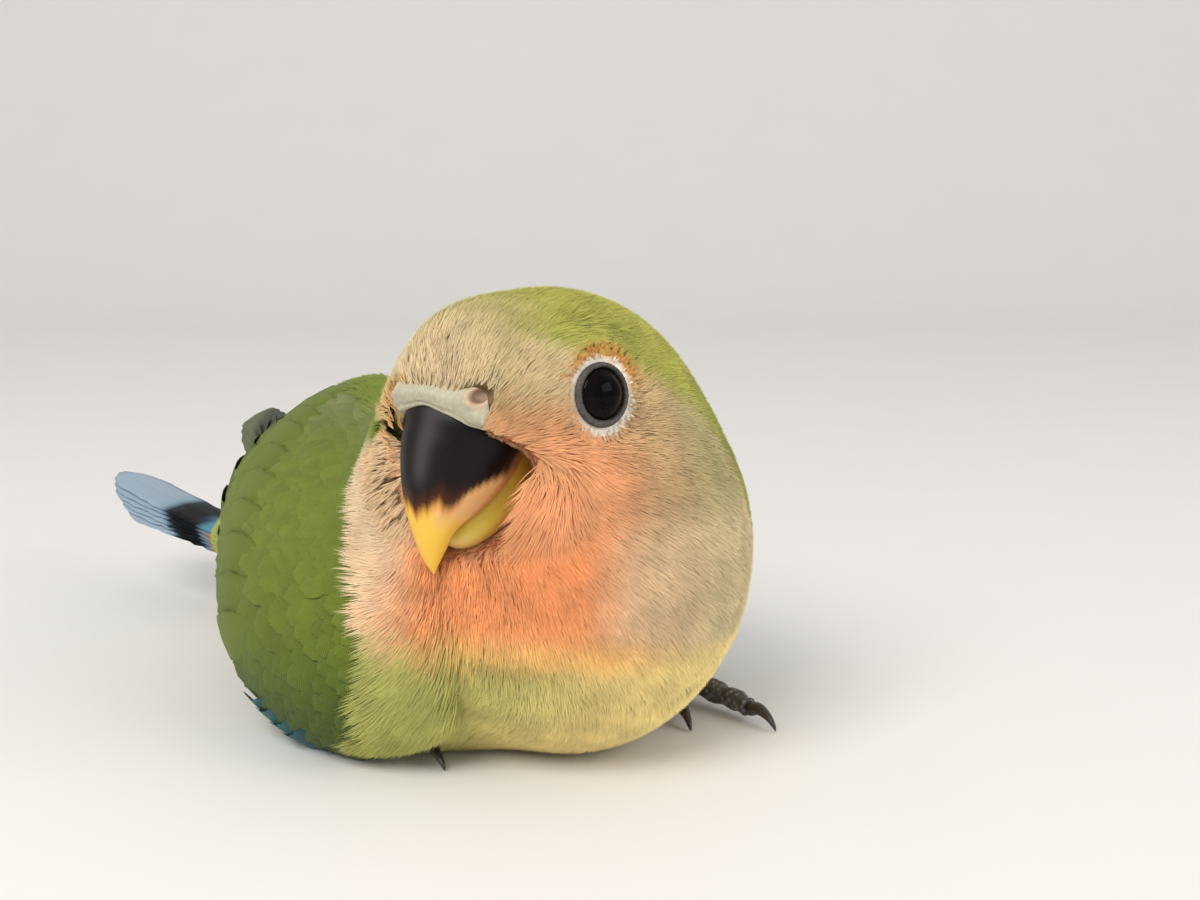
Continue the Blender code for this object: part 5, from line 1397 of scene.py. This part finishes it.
def makeRoom():
    mesh = bpy.data.meshes.new("floor")
    bm = bmesh.new()
    profile = [(-0.6, 0.0)] + [(0.45 + 0.25 * math.sin(a), 0.25 - 0.25 * math.cos(a)) for a in np.linspace(0, math.pi / 2, 16)] + [(0.70, 0.9)]
    rows = []
    for x in (-1.2, 1.2):
        rows.append([bm.verts.new((x, y, z)) for y, z in profile])
    for k in range(len(profile) - 1):
        bm.faces.new((rows[0][k], rows[1][k], rows[1][k + 1], rows[0][k + 1]))
    bmesh.ops.rotate(bm, cent=(0, 0, 0), matrix=Matrix.Rotation(math.radians(-35), 3, "Z"), verts=bm.verts)
    bm.to_mesh(mesh)
    bm.free()
    floor = bpy.data.objects.new("floor", mesh)
    bpy.context.scene.collection.objects.link(floor)
    for poly in mesh.polygons:
        poly.use_smooth = True
    m, nodes, links, shader = newMaterial("floorPaper")
    place = nodes.new("ShaderNodeTexCoord")
    noise = nodes.new("ShaderNodeTexNoise")
    noise.inputs["Scale"].default_value = 40.0
    ramp = nodes.new("ShaderNodeValToRGB")
    ramp.color_ramp.elements[0].color = (*(paint(room["floor"]) * 0.97), 1.0)
    ramp.color_ramp.elements[1].color = (*paint(room["floor"]), 1.0)
    links.new(place.outputs["Object"], noise.inputs["Vector"])
    links.new(noise.outputs["Fac"], ramp.inputs["Fac"])
    links.new(ramp.outputs["Color"], shader.inputs["Base Color"])
    shader.inputs["Roughness"].default_value = 0.8
    mesh.materials.append(m)

    bpy.context.scene.view_settings.view_transform = "Standard"
    world = bpy.data.worlds.new("room")
    bpy.context.scene.world = world
    world.use_nodes = True
    world.node_tree.nodes["Background"].inputs["Color"].default_value = (0.93, 0.95, 1.0, 1.0)
    world.node_tree.nodes["Background"].inputs["Strength"].default_value = room["worldStrength"]

    def softLight(name, place, aim, size, power):
        light = bpy.data.lights.new(name, "AREA")
        light.shape = "RECTANGLE"
        light.size, light.size_y = size
        light.energy = power
        obj = bpy.data.objects.new(name, light)
        bpy.context.scene.collection.objects.link(obj)
        obj.location = place
        obj.rotation_euler = (Vector(aim) - Vector(place)).to_track_quat("-Z", "Y").to_euler()

    softLight("windowLight", (-0.42, -0.20, 0.45), (0, 0, 0.03), (0.35, 0.3), room["keyPower"])
    softLight("fillLight", (0.25, -0.5, 0.30), (0, 0, 0.03), (0.4, 0.3), room["fillPower"])

    camera = bpy.data.cameras.new("camera")
    camera.lens = 50.0
    camera.sensor_width = 36.0
    camera.clip_start = 0.005
    view = bpy.data.objects.new("camera", camera)
    bpy.context.scene.collection.objects.link(view)
    view.location = (-0.1002, -0.1582, 0.0657)
    view.rotation_euler = Vector((0.5736, 0.8192, -math.tan(math.radians(10.2)))).to_track_quat("-Z", "Y").to_euler()
    bpy.context.scene.camera = view


makeRoom()
